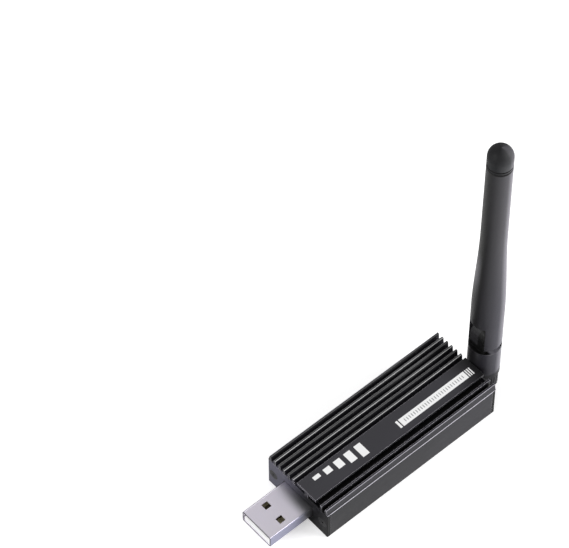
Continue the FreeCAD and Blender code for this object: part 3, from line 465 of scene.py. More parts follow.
GRAIN = fine_grain()
LINES_Y = drawn_lines("y")
LINES_X = drawn_lines("x")
EDGE_WEAR_AND_GLINT = worn_and_glinting_edges()
DRIFT = slow_drift()
ALONG_X, ALONG_Y, ALONG_Z = (ramp_along(axis) for axis in "xyz")
# 1 on the side that faces the right lamp, for the painted light and shade of the whip and cap.
ROUND_WHIP = round_the_whip((0.65, 0.76))
# Level lines: painted highlights on the walls and the elbow's rim, and the dark seam rings.
LEVEL_BAND = level_band()
CREST_LINES = crest_lines()
INSIDE_BOX = inside_box()
print("shader groups:", len(bpy.data.node_groups))

# %% [markdown]
# One function mixes every finish from those groups. A finish is a dark and a light tone that the
# drift blends, a brighter edge tone that is partly wear and partly painted highlight, a roughness
# that the grain moves up and down, and a shallow bump. What tells metal from plastic stays on the
# shader's own sockets.

# %% The finish mixer
def use(tree, group, **inputs):
    """Place a shader group in a material."""
    node = tree.nodes.new("ShaderNodeGroup")
    node.node_tree = group
    for name, value in inputs.items():
        plug(tree, node.inputs[name.replace("_", " ")], value)
    return node


def blend_colours(tree, mask, first, second):
    """Mix two colours by a mask."""
    node = add(tree, "ShaderNodeMix", data_type="RGBA")
    plug(tree, node.inputs[0], mask)
    plug(tree, node.inputs[6], first)
    plug(tree, node.inputs[7], second)
    return node.outputs[2]


def finish(
        name, dark, light, roughness, metallic=0.0, edge=None, edge_radius=0.00015, break_up=0.4,
        grain=4000.0, swing=0.1, bump=0.00001, lines=None, line_depth=0.0, rounding=0.00008,
        coat=0.0, coat_roughness=0.25, ior=1.5, last=None):
    """Build one material. Colours are linear. `last` lays a final effect over the colour."""
    material = bpy.data.materials.new(name)
    material.use_nodes = True
    tree = material.node_tree
    tree.nodes.clear()
    shader = add(tree, "ShaderNodeBsdfPrincipled", {
        "Metallic": metallic, "IOR": ior, "Coat Weight": coat, "Coat Roughness": coat_roughness})
    add(tree, "ShaderNodeOutputMaterial", {"Surface": shader.outputs[0]})

    drift = use(tree, DRIFT)
    colour = blend_colours(tree, drift.outputs[0], (*dark, 1), (*light, 1))
    pits = use(tree, GRAIN, Scale=grain)
    value, height = Wire(tree, pits.outputs["Value"]), Wire(tree, pits.outputs["Height"])
    if lines:
        drawn = use(tree, lines)
        value = (value + Wire(tree, drawn.outputs["Value"])) * 0.5
        height = height + Wire(tree, drawn.outputs["Height"]) * line_depth
    # Edges take a brighter tone: partly wear, partly a painted highlight.
    if edge:
        rub = use(tree, EDGE_WEAR_AND_GLINT, Radius=edge_radius, Break_Up=break_up)
        colour = blend_colours(tree, rub.outputs[0], colour, (*edge, 1))
    if last:
        colour = last(tree, colour)
    plug(tree, shader.inputs["Base Color"], colour)
    plug(tree, shader.inputs["Roughness"], value.ramp(
        0.25, 0.75, max(roughness - swing, 0.02), min(roughness + swing, 1.0)))
    rounded = add(tree, "ShaderNodeBevel", {"Radius": rounding}, samples=6)
    relief = add(tree, "ShaderNodeBump", {
        "Height": height, "Distance": bump, "Strength": 0.6, "Normal": rounded.outputs[0]})
    plug(tree, shader.inputs["Normal"], relief.outputs[0])
    return material


print("finish mixer ready")

# %% [markdown]
# The light of the picture is uneven in ways that a few lamps can't give, so some finishes end in
# an effect that changes the tone by place: the crests and grooves of the housing, the plate's
# right, the plug's root, rim and inside, and the two sides of the whip and of its cap. Places are
# given in millimetres.

# %% Tones by place
BLACK = 0.001
FIN_PITCH = 1.98
# Boxes in the housing's section: left, right, low and high.
FIN_CRESTS = (-12.3, -1.0, 13.32, 14.0)
OUTER_FINS = (-12.3, -5.0, 12.4, 14.0)
GROOVES = ((7.3, 12.0, 11.0, 12.6), (-0.35, 2.9, 11.0, 12.68), (4.4, 7.65, 11.0, 12.68))
RIGHT_WALL = (12.4, 13.0, -1.0, 12.0)
PLATFORM_FACE = (-0.35, 7.65, 13.3, 14.0)
# Painted highlight lines on the crests: first place, pitch, half width and tone.
CREST_GLINTS = (
    (-10.24, FIN_PITCH, 0.11, 0.30), (-9.70, FIN_PITCH, 0.11, 0.12),
    (-9.70, 2 * FIN_PITCH, 0.12, 0.66))
# Painted highlights along the walls' edges: height, half width, distance from the middle and tone.
WALL_HIGHLIGHTS = ((11.2, 0.15, 12.5, 0.95), (13.44, 0.12, 12.08, 0.42))
# Painted shade in the fork's slot and in the gap under it, and the dark rings of the seams.
SLOT_HEIGHTS = (19.7, 31.6)
SLOT_TONES = ((-3.12, 0.4, 0.017), (0.4, 3.25, BLACK))
FORK_GAP = (-20, 20, 19.5, 21.3)
SLEEVE_SEAM, CAP_SEAMS = 102.3, (102.7, 103.5)


def grey(tone):
    """A slightly violet grey, as everything on this object has."""
    return (tone, tone * 0.97, tone * 1.09, 1)


def region(tree, left, right, low, high):
    """A mask for a box in the section."""
    box = use(tree, INSIDE_BOX, Left=left * MM, Right=right * MM, Low=low * MM, High=high * MM)
    return Wire(tree, box.outputs[0])


def rising(tree, group, start, stop):
    """A ramp along an axis."""
    return Wire(tree, use(tree, group, Start=start * MM, Stop=stop * MM).outputs[0])


def level_line(tree, height, half_width, beyond=0.0):
    """A mask for a line at one height."""
    line = use(tree, LEVEL_BAND, Height=height * MM, Half_Width=half_width * MM, Beyond=beyond * MM)
    return Wire(tree, line.outputs[0])


def housing_tones(tree, colour):
    """Painted light and shade over the section: crests, grooves, platform and the walls'
    highlights.
    """
    # Painted light on the crests: a lighter tone, a painted sheen on the outer fins, painted
    # glints.
    crests = region(tree, *FIN_CRESTS)
    colour = blend_colours(tree, crests * 0.7, colour, (0.06, 0.06, 0.061, 1))
    sheen = rising(tree, ALONG_Y, 2, 20) * (1.0 - rising(tree, ALONG_Y, 22, 31))
    sheen = sheen * region(tree, *OUTER_FINS)
    colour = blend_colours(tree, sheen * 0.5, colour, (0.20, 0.20, 0.205, 1))
    for first, pitch, half_width, tone in CREST_GLINTS:
        line = use(
            tree, CREST_LINES, First=first * MM, Pitch=pitch * MM, Half_Width=half_width * MM)
        colour = blend_colours(
            tree, crests * Wire(tree, line.outputs[0]), colour, (tone, tone, tone, 1))
    # Painted shade in the groove right of the platform and in the hollows under it.
    for groove in GROOVES:
        colour = blend_colours(tree, region(tree, *groove) * 0.95, colour, grey(BLACK))
    # Painted shade on the right wall, strongest at the front.
    front = region(tree, *RIGHT_WALL) * (1.0 - rising(tree, ALONG_Y, -32, 32))
    colour = blend_colours(tree, front * 0.6, colour, grey(0.008))
    # Painted light on the platform's top, and the antenna's painted shadow over its rear.
    platform = region(tree, *PLATFORM_FACE)
    colour = blend_colours(tree, platform * 0.3, colour, grey(0.07))
    rear = platform * rising(tree, ALONG_Y, 22, 34)
    colour = blend_colours(tree, rear * 0.9, colour, grey(0.004))
    # Painted highlights along the walls' shoulder and crest.
    for height, half_width, beyond, tone in WALL_HIGHLIGHTS:
        line = level_line(tree, height, half_width, beyond)
        colour = blend_colours(tree, line, colour, grey(tone))
    return colour


def darker_right(tree, colour):
    """Painted shade: the plate's colour darkens towards its right, as its sheen falls off."""
    return blend_colours(tree, rising(tree, ALONG_X, -10, 5.5), colour, (0.003, 0.003, 0.004, 1))


def plug_tones(tree, colour):
    """Painted reflections on the plug's shell: a blue right side, the dark plate at its root, a
    dark rim.
    """
    # Painted shade with a blue reflection on the right side.
    side = rising(tree, ALONG_X, 5.7, 5.95)
    colour = blend_colours(tree, side, colour, (0.46, 0.46, 0.61, 1))
    # The front plate's painted dark reflection near the root.
    across = rising(tree, ALONG_X, -8, 3)
    root = rising(tree, ALONG_Y, -37.6, -33.4) * across
    colour = blend_colours(tree, root, colour, (0.30, 0.30, 0.32, 1))
    # Painted shade along the front rim and a painted dark reflection on the top left edge.
    rim = 1.0 - rising(tree, ALONG_Y, -47.95, -47.8)
    colour = blend_colours(tree, rim, colour, grey(0.16))
    left_edge = region(tree, -6.1, -5.66, 7.4, 7.8)
    return blend_colours(tree, left_edge, colour, grey(0.12))


def painted_inner_shade(tree, colour):
    """Painted shade: what lies deep in the plug is darkened."""
    return blend_colours(
        tree, rising(tree, ALONG_Y, -47.6, -46.4), colour, (0.45, 0.42, 0.28, 1))


def dark_ring(tree, colour, height):
    """A dark line round the whip where two of its pieces meet."""
    return blend_colours(tree, level_line(tree, height, 0.3), colour, grey(BLACK))


def antenna_sheen(tree, colour):
    """Painted light and shade on the antenna as if lit from the right, and a dark ring at its seam.
    """
    side = Wire(tree, use(tree, ROUND_WHIP).outputs[0])
    height = rising(tree, ALONG_Z, 30, 75)
    # Painted light: a lit right, a dark left and a painted highlight along the right edge.
    lit = blend_colours(tree, height, colour, grey(0.095))
    dim = blend_colours(tree, height, grey(0.008), grey(0.0005))
    colour = blend_colours(tree, side.ramp(-0.7, 0.8, 0.0, 1.0), dim, lit)
    colour = blend_colours(tree, side.ramp(0.62, 1.0, 0.0, 0.9), colour, grey(0.30))
    # A painted highlight streak on the left.
    streak = rising(tree, ALONG_Z, 44, 56) * (1.0 - rising(tree, ALONG_Z, 57, 67))
    streak = streak * side.ramp(-1.0, -0.7, 0.9, 0.0)
    colour = blend_colours(tree, streak, colour, grey(0.12))
    axis = WHIP_X / MM
    # Painted shade in the slot.
    for left, right, tone in SLOT_TONES:
        slot = region(tree, axis + left, axis + right, *SLOT_HEIGHTS)
        colour = blend_colours(tree, slot, colour, grey(tone))
    # A painted highlight on the elbow's rim, on its lit side.
    rim = level_line(tree, 19.2, 0.22) * side.ramp(-0.2, 0.4, 0.0, 0.7)
    colour = blend_colours(tree, rim, colour, grey(0.14))
    # Painted shade in the gap under the fork.
    colour = blend_colours(tree, region(tree, *FORK_GAP), colour, grey(BLACK))
    # Painted shade on the ribbed foot.
    foot = 1.0 - rising(tree, ALONG_Z, 8.2, 9.2)
    colour = blend_colours(tree, foot * 0.8, colour, grey(0.004))
    return dark_ring(tree, colour, SLEEVE_SEAM)


def cap_sheen(tree, colour):
    """Painted light on the cap as on the whip, painted shade on its dome, a dark ring at each seam.
    """
    side = Wire(tree, use(tree, ROUND_WHIP).outputs[0])
    colour = blend_colours(
        tree, side.ramp(-0.35, 0.7, 0.0, 0.9), colour, (0.095, 0.096, 0.102, 1))
    colour = blend_colours(tree, side.ramp(0.65, 1.0, 0.0, 0.9), colour, grey(0.26))
    dome = rising(tree, ALONG_Z, 104, 109.5)
    colour = blend_colours(tree, dome * 0.75, colour, grey(0.008))
    for height in CAP_SEAMS:
        colour = dark_ring(tree, colour, height)
    return colour


print("tones by place ready")

# %% [markdown]
# The housing and the plates are dark anodised aluminium: satin, slightly blue, with lines of the
# die along the extrusion and thin bright edges that are partly worn dye and partly painted
# highlights. The plug is nickelled steel.
# The antenna is satin black plastic, and its fittings are blackened or gilded brass.

# %% Finishes
FINISH = {
    "anodised_aluminium": finish(
        "anodised_aluminium", (0.0262, 0.0252, 0.0312), (0.0330, 0.0318, 0.0395), 0.42,
        metallic=0.45, edge=(0.60, 0.58, 0.63), edge_radius=0.0002, break_up=0.15, lines=LINES_Y,
        line_depth=0.8, bump=0.000006, swing=0.08, coat=0.2, last=housing_tones),
    # The plates are painted lighter than the housing, for the light on their faces, with shade to
    # the right.
    "plate_aluminium": finish(
        "plate_aluminium", (0.102, 0.099, 0.135), (0.125, 0.121, 0.164), 0.40, metallic=0.45,
        edge=(0.26, 0.25, 0.27), edge_radius=0.00018, lines=LINES_X, line_depth=0.5, bump=0.000006,
        swing=0.08, ior=1.3, last=darker_right),
    "plug_steel": finish(
        "plug_steel", (0.91, 0.865, 0.98), (0.95, 0.905, 1.00), 0.36, metallic=1.0,
        bump=0.000002, swing=0.04, rounding=0.00005, last=plug_tones),
    "plug_plastic": finish(
        "plug_plastic", (0.96, 0.96, 0.97), (0.98, 0.98, 0.98), 0.45, grain=2500.0,
        last=painted_inner_shade),
    "contact_gold": finish(
        "contact_gold", (0.78, 0.55, 0.20), (0.88, 0.66, 0.28), 0.22, metallic=1.0, lines=LINES_Y,
        line_depth=0.5, bump=0.000003, last=painted_inner_shade),
    "board_laminate": finish(
        "board_laminate", (0.012, 0.030, 0.020), (0.018, 0.042, 0.028), 0.38, grain=1500.0),
    "chip_black": finish("chip_black", (0.018, 0.018, 0.020), (0.028, 0.028, 0.030), 0.55),
    "can_metal": finish(
        "can_metal", (0.55, 0.55, 0.56), (0.66, 0.66, 0.66), 0.30, metallic=1.0, lines=LINES_X,
        line_depth=0.6, bump=0.000004),
    "ceramic": finish("ceramic", (0.36, 0.26, 0.15), (0.46, 0.34, 0.20), 0.40),
    "resistor_black": finish("resistor_black", (0.015, 0.015, 0.016), (0.025, 0.025, 0.027), 0.30),
    "led_lens": finish("led_lens", (0.78, 0.80, 0.70), (0.86, 0.87, 0.78), 0.15, coat=0.5),
    "switch_case": finish(
        "switch_case", (0.50, 0.50, 0.51), (0.60, 0.60, 0.60), 0.32, metallic=1.0, lines=LINES_X,
        line_depth=0.5, bump=0.000004),
    "switch_plunger": finish(
        "switch_plunger", (0.03, 0.03, 0.03), (0.045, 0.045, 0.045), 0.5),
    "screw_black": finish(
        "screw_black", (0.020, 0.020, 0.022), (0.032, 0.032, 0.034), 0.38, metallic=0.7,
        edge=(0.16, 0.16, 0.17), edge_radius=0.0001),
    "jack_brass": finish(
        "jack_brass", (0.70, 0.48, 0.17), (0.80, 0.58, 0.24), 0.25, metallic=1.0,
        edge=(0.92, 0.74, 0.40), edge_radius=0.0001),
    "insulator_white": finish(
        "insulator_white", (0.82, 0.82, 0.78), (0.88, 0.88, 0.85), 0.42, grain=2500.0),
    "nut_black": finish(
        "nut_black", (0.028, 0.028, 0.032), (0.042, 0.042, 0.046), 0.34, metallic=0.8,
        edge=(0.22, 0.21, 0.22), edge_radius=0.00012),
    "antenna_plastic": finish(
        "antenna_plastic", (0.055, 0.053, 0.068), (0.067, 0.065, 0.082), 0.42, grain=2600.0,
        bump=0.000012, rounding=0.00015, edge=(0.10, 0.097, 0.108), edge_radius=0.0002, ior=1.33,
        last=antenna_sheen),
    "antenna_cap_plastic": finish(
        "antenna_cap_plastic", (0.006, 0.007, 0.008), (0.009, 0.010, 0.012), 0.62, grain=2600.0,
        bump=0.000012, rounding=0.0001, ior=1.33, last=cap_sheen),
    "radiator_brass": finish(
        "radiator_brass", (0.62, 0.42, 0.15), (0.74, 0.53, 0.22), 0.30, metallic=1.0,
        lines=LINES_Y, line_depth=0.4),
    "print_white": finish(
        "print_white", (0.80, 0.80, 0.80), (0.86, 0.86, 0.86), 0.5, grain=6000.0, bump=0.000003),
    "print_grey": finish(
        "print_grey", (0.30, 0.30, 0.31), (0.36, 0.36, 0.37), 0.5, grain=6000.0, bump=0.000003),
}
print("finishes:", len(FINISH))

# %% [markdown]
# Most CAD nodes have the right shape already, so they stay and only change their finish. The
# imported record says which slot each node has, and that slot picks the finish of the same name.

# %% Finish every carried-over node
SLOT_OF = {part["node"]: part["material_slot"] for part in frame["record"]["subparts"]}
for node_name, node in NODES.items():
    material = FINISH[SLOT_OF[node_name]]
    if not node.data.materials:
        node.data.materials.append(material)
    for index in range(len(node.data.materials)):
        node.data.materials[index] = material
print("finished nodes:", len(SLOT_OF))

# %% [markdown]
# The housing is one aluminium extrusion, the same section from end to end, so it is a perfect case
# for a recipe. A ridge with a flared root is drawn once, repeated as fins at an even pitch, and
# fused with the box, the outer walls and the label platform. Then the hollow and the seats of the
# plates are cut.

# %% Ridge recipe
def cube(tree, low, high):
    """A block between two corners given as three numbers or wires each."""
    sides = [reckon(tree, "SUBTRACT", b, a) for a, b in zip(low, high)]
    middle = [reckon(tree, "ADD", a, b) * 0.5 for a, b in zip(low, high)]
    block = add(tree, "GeometryNodeMeshCube", {"Size": vector(tree, *sides)})
    moved = add(tree, "GeometryNodeTransform", {
        "Geometry": block.outputs[0], "Translation": vector(tree, *middle)})
    return moved.outputs[0]


def ridge_recipe():
    """A bar whose left and right edges are given at its foot, root and crest."""
    tree, wires = recipe("ridge", {
        "Foot Left": -0.68 * MM, "Foot Right": 0.68 * MM, "Root Left": -0.5 * MM,
        "Root Right": 0.5 * MM, "Crest Left": -0.3 * MM, "Crest Right": 0.3 * MM,
        "Low": 10.6 * MM, "Foot": 11.2 * MM, "Knee": 11.38 * MM, "Top": 13.5 * MM,
        "Length": 65.0 * MM})
    bar = add(tree, "GeometryNodeMeshCube", {"Size": (1, 1, 1), "Vertices Z": 4})
    x, y, z = parts_of(tree, add(tree, "GeometryNodeInputPosition").outputs[0])
    level = (z + 0.5) * 3.0

    def through(foot, root, crest):
        return level.ramp(1, 2, foot, root) + level.ramp(2, 3, 0.0, crest - root)

    left = through(wires["Foot Left"], wires["Root Left"], wires["Crest Left"])
    right_edge = through(wires["Foot Right"], wires["Root Right"], wires["Crest Right"])
    height = level.ramp(0, 1, wires["Low"], wires["Foot"]) + level.ramp(
        1, 2, 0.0, wires["Knee"] - wires["Foot"]) + level.ramp(
        2, 3, 0.0, wires["Top"] - wires["Knee"])
    across = left + (x + 0.5) * (right_edge - left)
    placed = add(tree, "GeometryNodeSetPosition", {
        "Geometry": bar.outputs[0], "Position": vector(tree, across, y * wires["Length"], height)})
    return close_recipe(tree, wires, placed.outputs[0])


RIDGE = ridge_recipe()
print("ridge inputs:", len(RIDGE.interface.items_tree))


# %% Housing recipe
KNEE_LEAN = 0.08
MARGIN = 1 * MM
RAIL_REACH, RAIL_HALF = 3.6 * MM, 2.1 * MM
SLOT_REACH, SLOT_HALF, SLOT_SPARE = 2.6 * MM, 0.85 * MM, 0.1 * MM


def union(tree, geometries):
    """Fuse solids into one."""
    return add(tree, "GeometryNodeMeshBoolean", {
        "Mesh 2": geometries}, operation="UNION", solver="EXACT").outputs[0]


def difference(tree, body, tools):
    """Cut tools out of a body."""
    return add(tree, "GeometryNodeMeshBoolean", {
        "Mesh 1": body, "Mesh 2": tools}, operation="DIFFERENCE", solver="EXACT").outputs[0]


def ridge(tree, **sizes):
    """Place the ridge recipe in another recipe."""
    node = tree.nodes.new("GeometryNodeGroup")
    node.node_tree = RIDGE
    for name, size in sizes.items():
        plug(tree, node.inputs[name.replace("_", " ")], size)
    return node.outputs[0]


def housing_recipe():
    """The whole extrusion, with the hollow, the seats of the plates and the board's rails."""
    tree, w = recipe("finned_housing", {
        "Width": 25.5 * MM, "Length": 65.0 * MM, "Box Height": 11.2 * MM, "Crest": 13.5 * MM,
        "Lean": 0.55 * MM, "Crest Width": 0.6 * MM, "Flank": 0.2 * MM, "Flare": 0.18 * MM,
        "Pitch": 1.98 * MM, "Fins": 5, "Lone Fin": 9.9 * MM, "Platform Left": -0.3 * MM,
        "Platform Right": 7.6 * MM, "Platform Thickness": 0.8 * MM, "Web Half": 0.65 * MM,
        "Skin": 1.25 * MM, "Floor": 1.2 * MM, "Plate": 1.2 * MM, "Core": 5.5 * MM,
        "Port Radius": 0.82 * MM, "Port Spread": 10.5 * MM})
    half, reach = w["Width"] / 2, w["Length"] / 2
    top = w["Box Height"]
    box_body = cube(tree, (0.0 - half, 0.0 - reach, 0.0), (half, reach, top))

    fin = ridge(tree)
    first = w["Pitch"] + w["Lean"] - half + w["Crest Width"] / 2
    row = add(tree, "GeometryNodeMeshLine", {
        "Count": w["Fins"], "Start Location": vector(tree, first, 0.0, 0.0),
        "Offset": vector(tree, w["Pitch"], 0.0, 0.0)})
    fins = add(tree, "GeometryNodeInstanceOnPoints", {"Points": row.outputs[0], "Instance": fin})
    fins = add(tree, "GeometryNodeRealizeInstances", {"Geometry": fins.outputs[0]}).outputs[0]
    lone = add(tree, "GeometryNodeTransform", {
        "Geometry": fin, "Translation": vector(tree, w["Lone Fin"], 0.0, 0.0)}).outputs[0]

    outer, inner = half - w["Lean"], half - w["Lean"] - w["Crest Width"]
    root = inner - w["Flank"]
    right_wall = ridge(
        tree, Foot_Left=root - w["Flare"], Foot_Right=half, Root_Left=root,
        Root_Right=half - w["Lean"] * KNEE_LEAN, Crest_Left=inner, Crest_Right=outer)
    left_wall = ridge(
        tree, Foot_Left=0.0 - half, Foot_Right=w["Flare"] - root,
        Root_Left=w["Lean"] * KNEE_LEAN - half, Root_Right=0.0 - root, Crest_Left=0.0 - outer,
        Crest_Right=0.0 - inner)

    centre = (w["Platform Left"] + w["Platform Right"]) / 2
    web = ridge(
        tree, Foot_Left=centre - w["Web Half"] - w["Flare"],
        Foot_Right=centre + w["Web Half"] + w["Flare"], Root_Left=centre - w["Web Half"],
        Root_Right=centre + w["Web Half"], Crest_Left=centre - w["Web Half"],
        Crest_Right=centre + w["Web Half"], Top=w["Crest"] - w["Platform Thickness"] / 2)
    table = cube(
        tree, (w["Platform Left"], 0.0 - reach, w["Crest"] - w["Platform Thickness"]),
        (w["Platform Right"], reach, w["Crest"]))
    solid = union(tree, [box_body, fins, lone, right_wall, left_wall, web, table])

    wall = half - w["Skin"]
    far = reach + MARGIN
    hollow = cube(tree, (0.0 - wall, 0.0 - far, w["Floor"]), (wall, far, top - w["Floor"]))
    seats = [
        cube(tree, (0.0 - half - MARGIN, reach - w["Plate"], 0.0 - w["Plate"]),
             (half + MARGIN, far, top)),
        cube(tree, (0.0 - half - MARGIN, 0.0 - far, 0.0 - w["Plate"]),
             (half + MARGIN, w["Plate"] - reach, top)),
    ]
    open_body = difference(tree, solid, [hollow, *seats])

    rails = []
    for side in (-1.0, 1.0):
        deep, near, bottom = [
            (wall - depth) * side for depth in (RAIL_REACH, 0.0, SLOT_REACH)]
        left, right = (deep, near) if side > 0 else (near, deep)
        block = cube(
            tree, (left, w["Plate"] - reach, w["Core"] - RAIL_HALF),
            (right, reach - w["Plate"], w["Core"] + RAIL_HALF))
        left, right = (deep, bottom) if side > 0 else (bottom, deep)
        slot = cube(
            tree, (left - SLOT_SPARE, 0.0 - far, w["Core"] - SLOT_HALF),
            (right + SLOT_SPARE, far, w["Core"] + SLOT_HALF))
        port = add(tree, "GeometryNodeMeshCylinder", {
            "Vertices": 24, "Radius": w["Port Radius"], "Depth": w["Length"] * 1.1})
        port = add(tree, "GeometryNodeTransform", {
            "Geometry": port.outputs[0], "Rotation": (math.pi / 2, 0, 0),
            "Translation": vector(tree, w["Port Spread"] * side, 0.0, w["Core"])})
        rails.append(difference(tree, block, [slot, port.outputs[0]]))
    joined = add(tree, "GeometryNodeJoinGeometry", {"Geometry": [open_body, *rails]})
    return close_recipe(tree, w, joined.outputs[0])


def flatten(mesh, degrees=0.5):
    """Dissolve the cuts that a boolean leaves in flat faces."""
    work = bmesh.new()
    work.from_mesh(mesh)
    bmesh.ops.dissolve_limit(
        work, angle_limit=math.radians(degrees), verts=work.verts, edges=work.edges,
        use_dissolve_boundaries=False)
    work.to_mesh(mesh)
    work.free()


housing = cook(housing_recipe(), "housing_extrusion", FINISH["anodised_aluminium"])
flatten(housing.data)
bevel(smooth(housing), 0.07 * MM)
settle(housing, "stick", ["housing"])

# %% [markdown]
# Two small countersunk screws hold each end plate. They are alike, so one recipe cuts a cross
# recess into a cone, adds the shank and puts the pair where the plate has its holes.

# %% Screws
NECK = 0.1 * MM
RECESS_LOW, RECESS_HIGH = -0.2 * MM, 0.55 * MM
RECESS_TURN = 0.4


def screw_recipe():
    """A screw with a cross recess, placed twice."""
    tree, w = recipe("countersunk_pair", {
        "Spread": 10.5 * MM, "Height": 5.5 * MM, "Face": -32.5 * MM, "Inward": 1.0,
        "Head Radius": 1.7 * MM, "Head Depth": 0.9 * MM, "Shank Radius": 0.8 * MM,
        "Length": 6.0 * MM, "Recess": 0.95 * MM, "Recess Width": 0.34 * MM})
    head = add(tree, "GeometryNodeMeshCone", {
        "Vertices": 48, "Radius Top": w["Shank Radius"], "Radius Bottom": w["Head Radius"],
        "Depth": w["Head Depth"]})
    shank = add(tree, "GeometryNodeMeshCylinder", {
        "Vertices": 24, "Radius": w["Shank Radius"], "Depth": w["Length"] - NECK})
    shank = add(tree, "GeometryNodeTransform", {
        "Geometry": shank.outputs[0],
        "Translation": vector(tree, 0.0, 0.0, w["Length"] / 2 + NECK / 2)})
    solid = union(tree, [head.outputs[0], shank.outputs[0]])
    arms = []
    for wide, deep in (("Recess", "Recess Width"), ("Recess Width", "Recess")):
        a, b = w[wide] / 2, w[deep] / 2
        arms.append(cube(tree, (a * -1.0, b * -1.0, RECESS_LOW), (a, b, RECESS_HIGH)))
    one = difference(tree, solid, [union(tree, arms)])
    # The cone is built along Z from its wide end. It is turned to drive along Y.
    ends = add(tree, "GeometryNodeMeshLine", {
        "Count": 2, "Start Location": vector(tree, w["Spread"] * -1.0, w["Face"], w["Height"]),
        "Offset": vector(tree, w["Spread"] * 2.0, 0.0, 0.0)})
    tilt = vector(tree, w["Inward"] * (-math.pi / 2), RECESS_TURN, 0.0)
    pair = add(tree, "GeometryNodeInstanceOnPoints", {
        "Points": ends.outputs[0], "Instance": one,
        "Rotation": add(tree, "FunctionNodeEulerToRotation", {0: tilt}).outputs[0]})
    return close_recipe(tree, w, pair.outputs[0])


SCREWS = screw_recipe()
for side, face, inward in (("front", -32.5, 1.0), ("rear", 32.5, -1.0)):
    pair = cook(SCREWS, f"{side}_screws", FINISH["screw_black"], {
        "Face": face * MM, "Inward": inward})
    settle(smooth(pair), "stick", [f"{side}_plate_screws"])

# %% [markdown]
# The whip is a smooth moulding, thick at the hinge and slim towards the tip. Its radius is a rule
# of height, so a recipe sweeps a circle up a line, sets the radius from the height with a soft
# S-shaped step, and cuts the fork's slot, the sockets of the hinge and the bore of the radiator.

# %% Whip recipe
def swept(tree, heights, radius_of, rings, around):
    """A turned solid: a circle swept up the whip's axis, with its radius set by height."""
    low, high = heights
    line = add(tree, "GeometryNodeCurvePrimitiveLine", {
        "Start": vector(tree, WHIP_X, WHIP_Y, low), "End": vector(tree, WHIP_X, WHIP_Y, high)})
    line = add(tree, "GeometryNodeResampleCurve", {"Curve": line.outputs[0], "Count": rings})
    z = parts_of(tree, add(tree, "GeometryNodeInputPosition").outputs[0])[2]
    circle = add(tree, "GeometryNodeCurvePrimitiveCircle", {"Resolution": around, "Radius": 1.0})
    return add(tree, "GeometryNodeCurveToMesh", {
        "Curve": line.outputs[0], "Profile Curve": circle.outputs[0], "Scale": radius_of(z),
        "Fill Caps": True}).outputs[0]


def rod(tree, radius, length, place, turn=(0, 0, 0)):
    """A round rod about a place, along Z before it is turned."""
    plain = add(tree, "GeometryNodeMeshCylinder", {
        "Vertices": 32, "Radius": radius, "Depth": length})
    return add(tree, "GeometryNodeTransform", {
        "Geometry": plain.outputs[0], "Rotation": turn, "Translation": place}).outputs[0]


def whip_recipe():
    """The whip with its taper, its slot, the hinge's sockets and the radiator's bore."""
    tree, w = recipe("tapered_whip", {
        "Seam": SLEEVE_LOW.z, "Top": SLEEVE_HIGH.z, "Radius": (SLEEVE_HIGH.x - SLEEVE_LOW.x) / 2,
        "Waist": 3.85 * MM, "Tip": 3.75 * MM, "Taper Start": 37.4 * MM, "Taper End": 72.2 * MM,
        "Slot": 6.14 * MM, "Slot Top": 31.5 * MM, "Hinge": 24.3 * MM, "Socket": 1.55 * MM,
        "Socket Span": 7.9 * MM, "Bore": 2.1 * MM, "Rings": 150})

    def radius_of(z):
        drop = z.ramp(w["Taper Start"], w["Taper End"], 0.0, w["Radius"] - w["Waist"], "SMOOTHSTEP")
        slim = z.ramp(w["Taper End"], w["Top"], 0.0, w["Waist"] - w["Tip"])
        return w["Radius"] - drop - slim

    body = swept(tree, (w["Seam"], w["Top"]), radius_of, w["Rings"], 96)
    half, reach = w["Slot"] / 2, w["Radius"] * 2.0
    slot = cube(
        tree, (WHIP_X - half, WHIP_Y - reach, 0.0), (half + WHIP_X, reach + WHIP_Y, w["Slot Top"]))
    socket = rod(tree, w["Socket"], w["Socket Span"], vector(tree, WHIP_X, WHIP_Y, w["Hinge"]),
                 (0, math.pi / 2, 0))
    bore = rod(tree, w["Bore"], w["Top"] * 2.0, vector(tree, WHIP_X, WHIP_Y, w["Top"]))
    return close_recipe(tree, w, difference(tree, body, [slot, socket, bore]))


whip = cook(whip_recipe(), "whip_sleeve", FINISH["antenna_plastic"])
bevel(smooth(whip, 25), 0.15 * MM, degrees=50)
settle(whip, "whip", ["antenna_sleeve"])

# %% [markdown]
# Light print lies on the platform: a row of level bars near the plug and a long strip near the
# antenna, with cross lines at its end and a second, grey layer of ticks. Ink is a few hundredths
# of a millimetre thick, so each mark is a very thin block, and one recipe lays any even row of
# such blocks.

# %% Print
PLATFORM_TOP = 13.5 * MM
INK, INK_SUNK = 0.02 * MM, 0.01 * MM


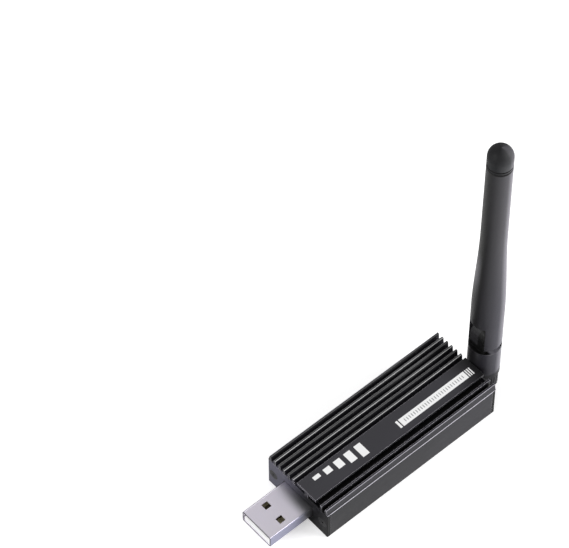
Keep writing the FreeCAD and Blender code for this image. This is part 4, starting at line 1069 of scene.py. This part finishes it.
def marks_recipe():
    """An even row of thin blocks that may grow from one to the next."""
    tree, w = recipe("printed_row", {
        "Left": 1.0 * MM, "First": 0.0, "Pitch": 1.0 * MM, "Marks": 5, "Mark Length": 0.5 * MM,
        "Mark Width": 1.0 * MM, "Growth": 0.0, "Layer": 0.0})
    row = add(tree, "GeometryNodeMeshLine", {
        "Count": w["Marks"],
        "Start Location": vector(tree, w["Left"], w["First"], w["Layer"] + PLATFORM_TOP),
        "Offset": vector(tree, 0.0, w["Pitch"], 0.0)})
    mark = cube(tree, (0.0, 0.0, -INK_SUNK), (1.0, w["Mark Length"], INK))
    index = Wire(tree, add(tree, "GeometryNodeInputIndex").outputs[0])
    width = w["Mark Width"] + index * w["Growth"]
    laid = add(tree, "GeometryNodeInstanceOnPoints", {
        "Points": row.outputs[0], "Instance": mark, "Scale": vector(tree, width, 1.0, 1.0)})
    return close_recipe(tree, w, laid.outputs[0])


MARKS = marks_recipe()
PRINTS = {
    "level_bars": ("print_white", {
        "Left": 1.2 * MM, "First": -28.2 * MM, "Pitch": 3.9 * MM, "Marks": 5,
        "Mark Length": 2.4 * MM, "Mark Width": 1.3 * MM, "Growth": 0.8 * MM}),
    "strip_body": ("print_white", {
        "Left": 2.8 * MM, "First": 3.15 * MM, "Pitch": 26.0 * MM, "Marks": 1,
        "Mark Length": 25.45 * MM, "Mark Width": 2.7 * MM}),
    "strip_start": ("print_white", {
        "Left": 2.8 * MM, "First": 2.0 * MM, "Pitch": 1.0 * MM, "Marks": 1,
        "Mark Length": 0.75 * MM, "Mark Width": 2.7 * MM}),
    "strip_end": ("print_white", {
        "Left": 2.8 * MM, "First": 28.95 * MM, "Pitch": 0.72 * MM, "Marks": 3,
        "Mark Length": 0.38 * MM, "Mark Width": 2.7 * MM}),
    "strip_ticks": ("print_grey", {
        "Left": 3.6 * MM, "First": 4.6 * MM, "Pitch": 0.9 * MM, "Marks": 26,
        "Mark Length": 0.3 * MM, "Mark Width": 1.1 * MM, "Layer": INK_SUNK}),
}
for name, (ink, sizes) in PRINTS.items():
    settle(cook(MARKS, name, FINISH[ink], sizes), "stick")
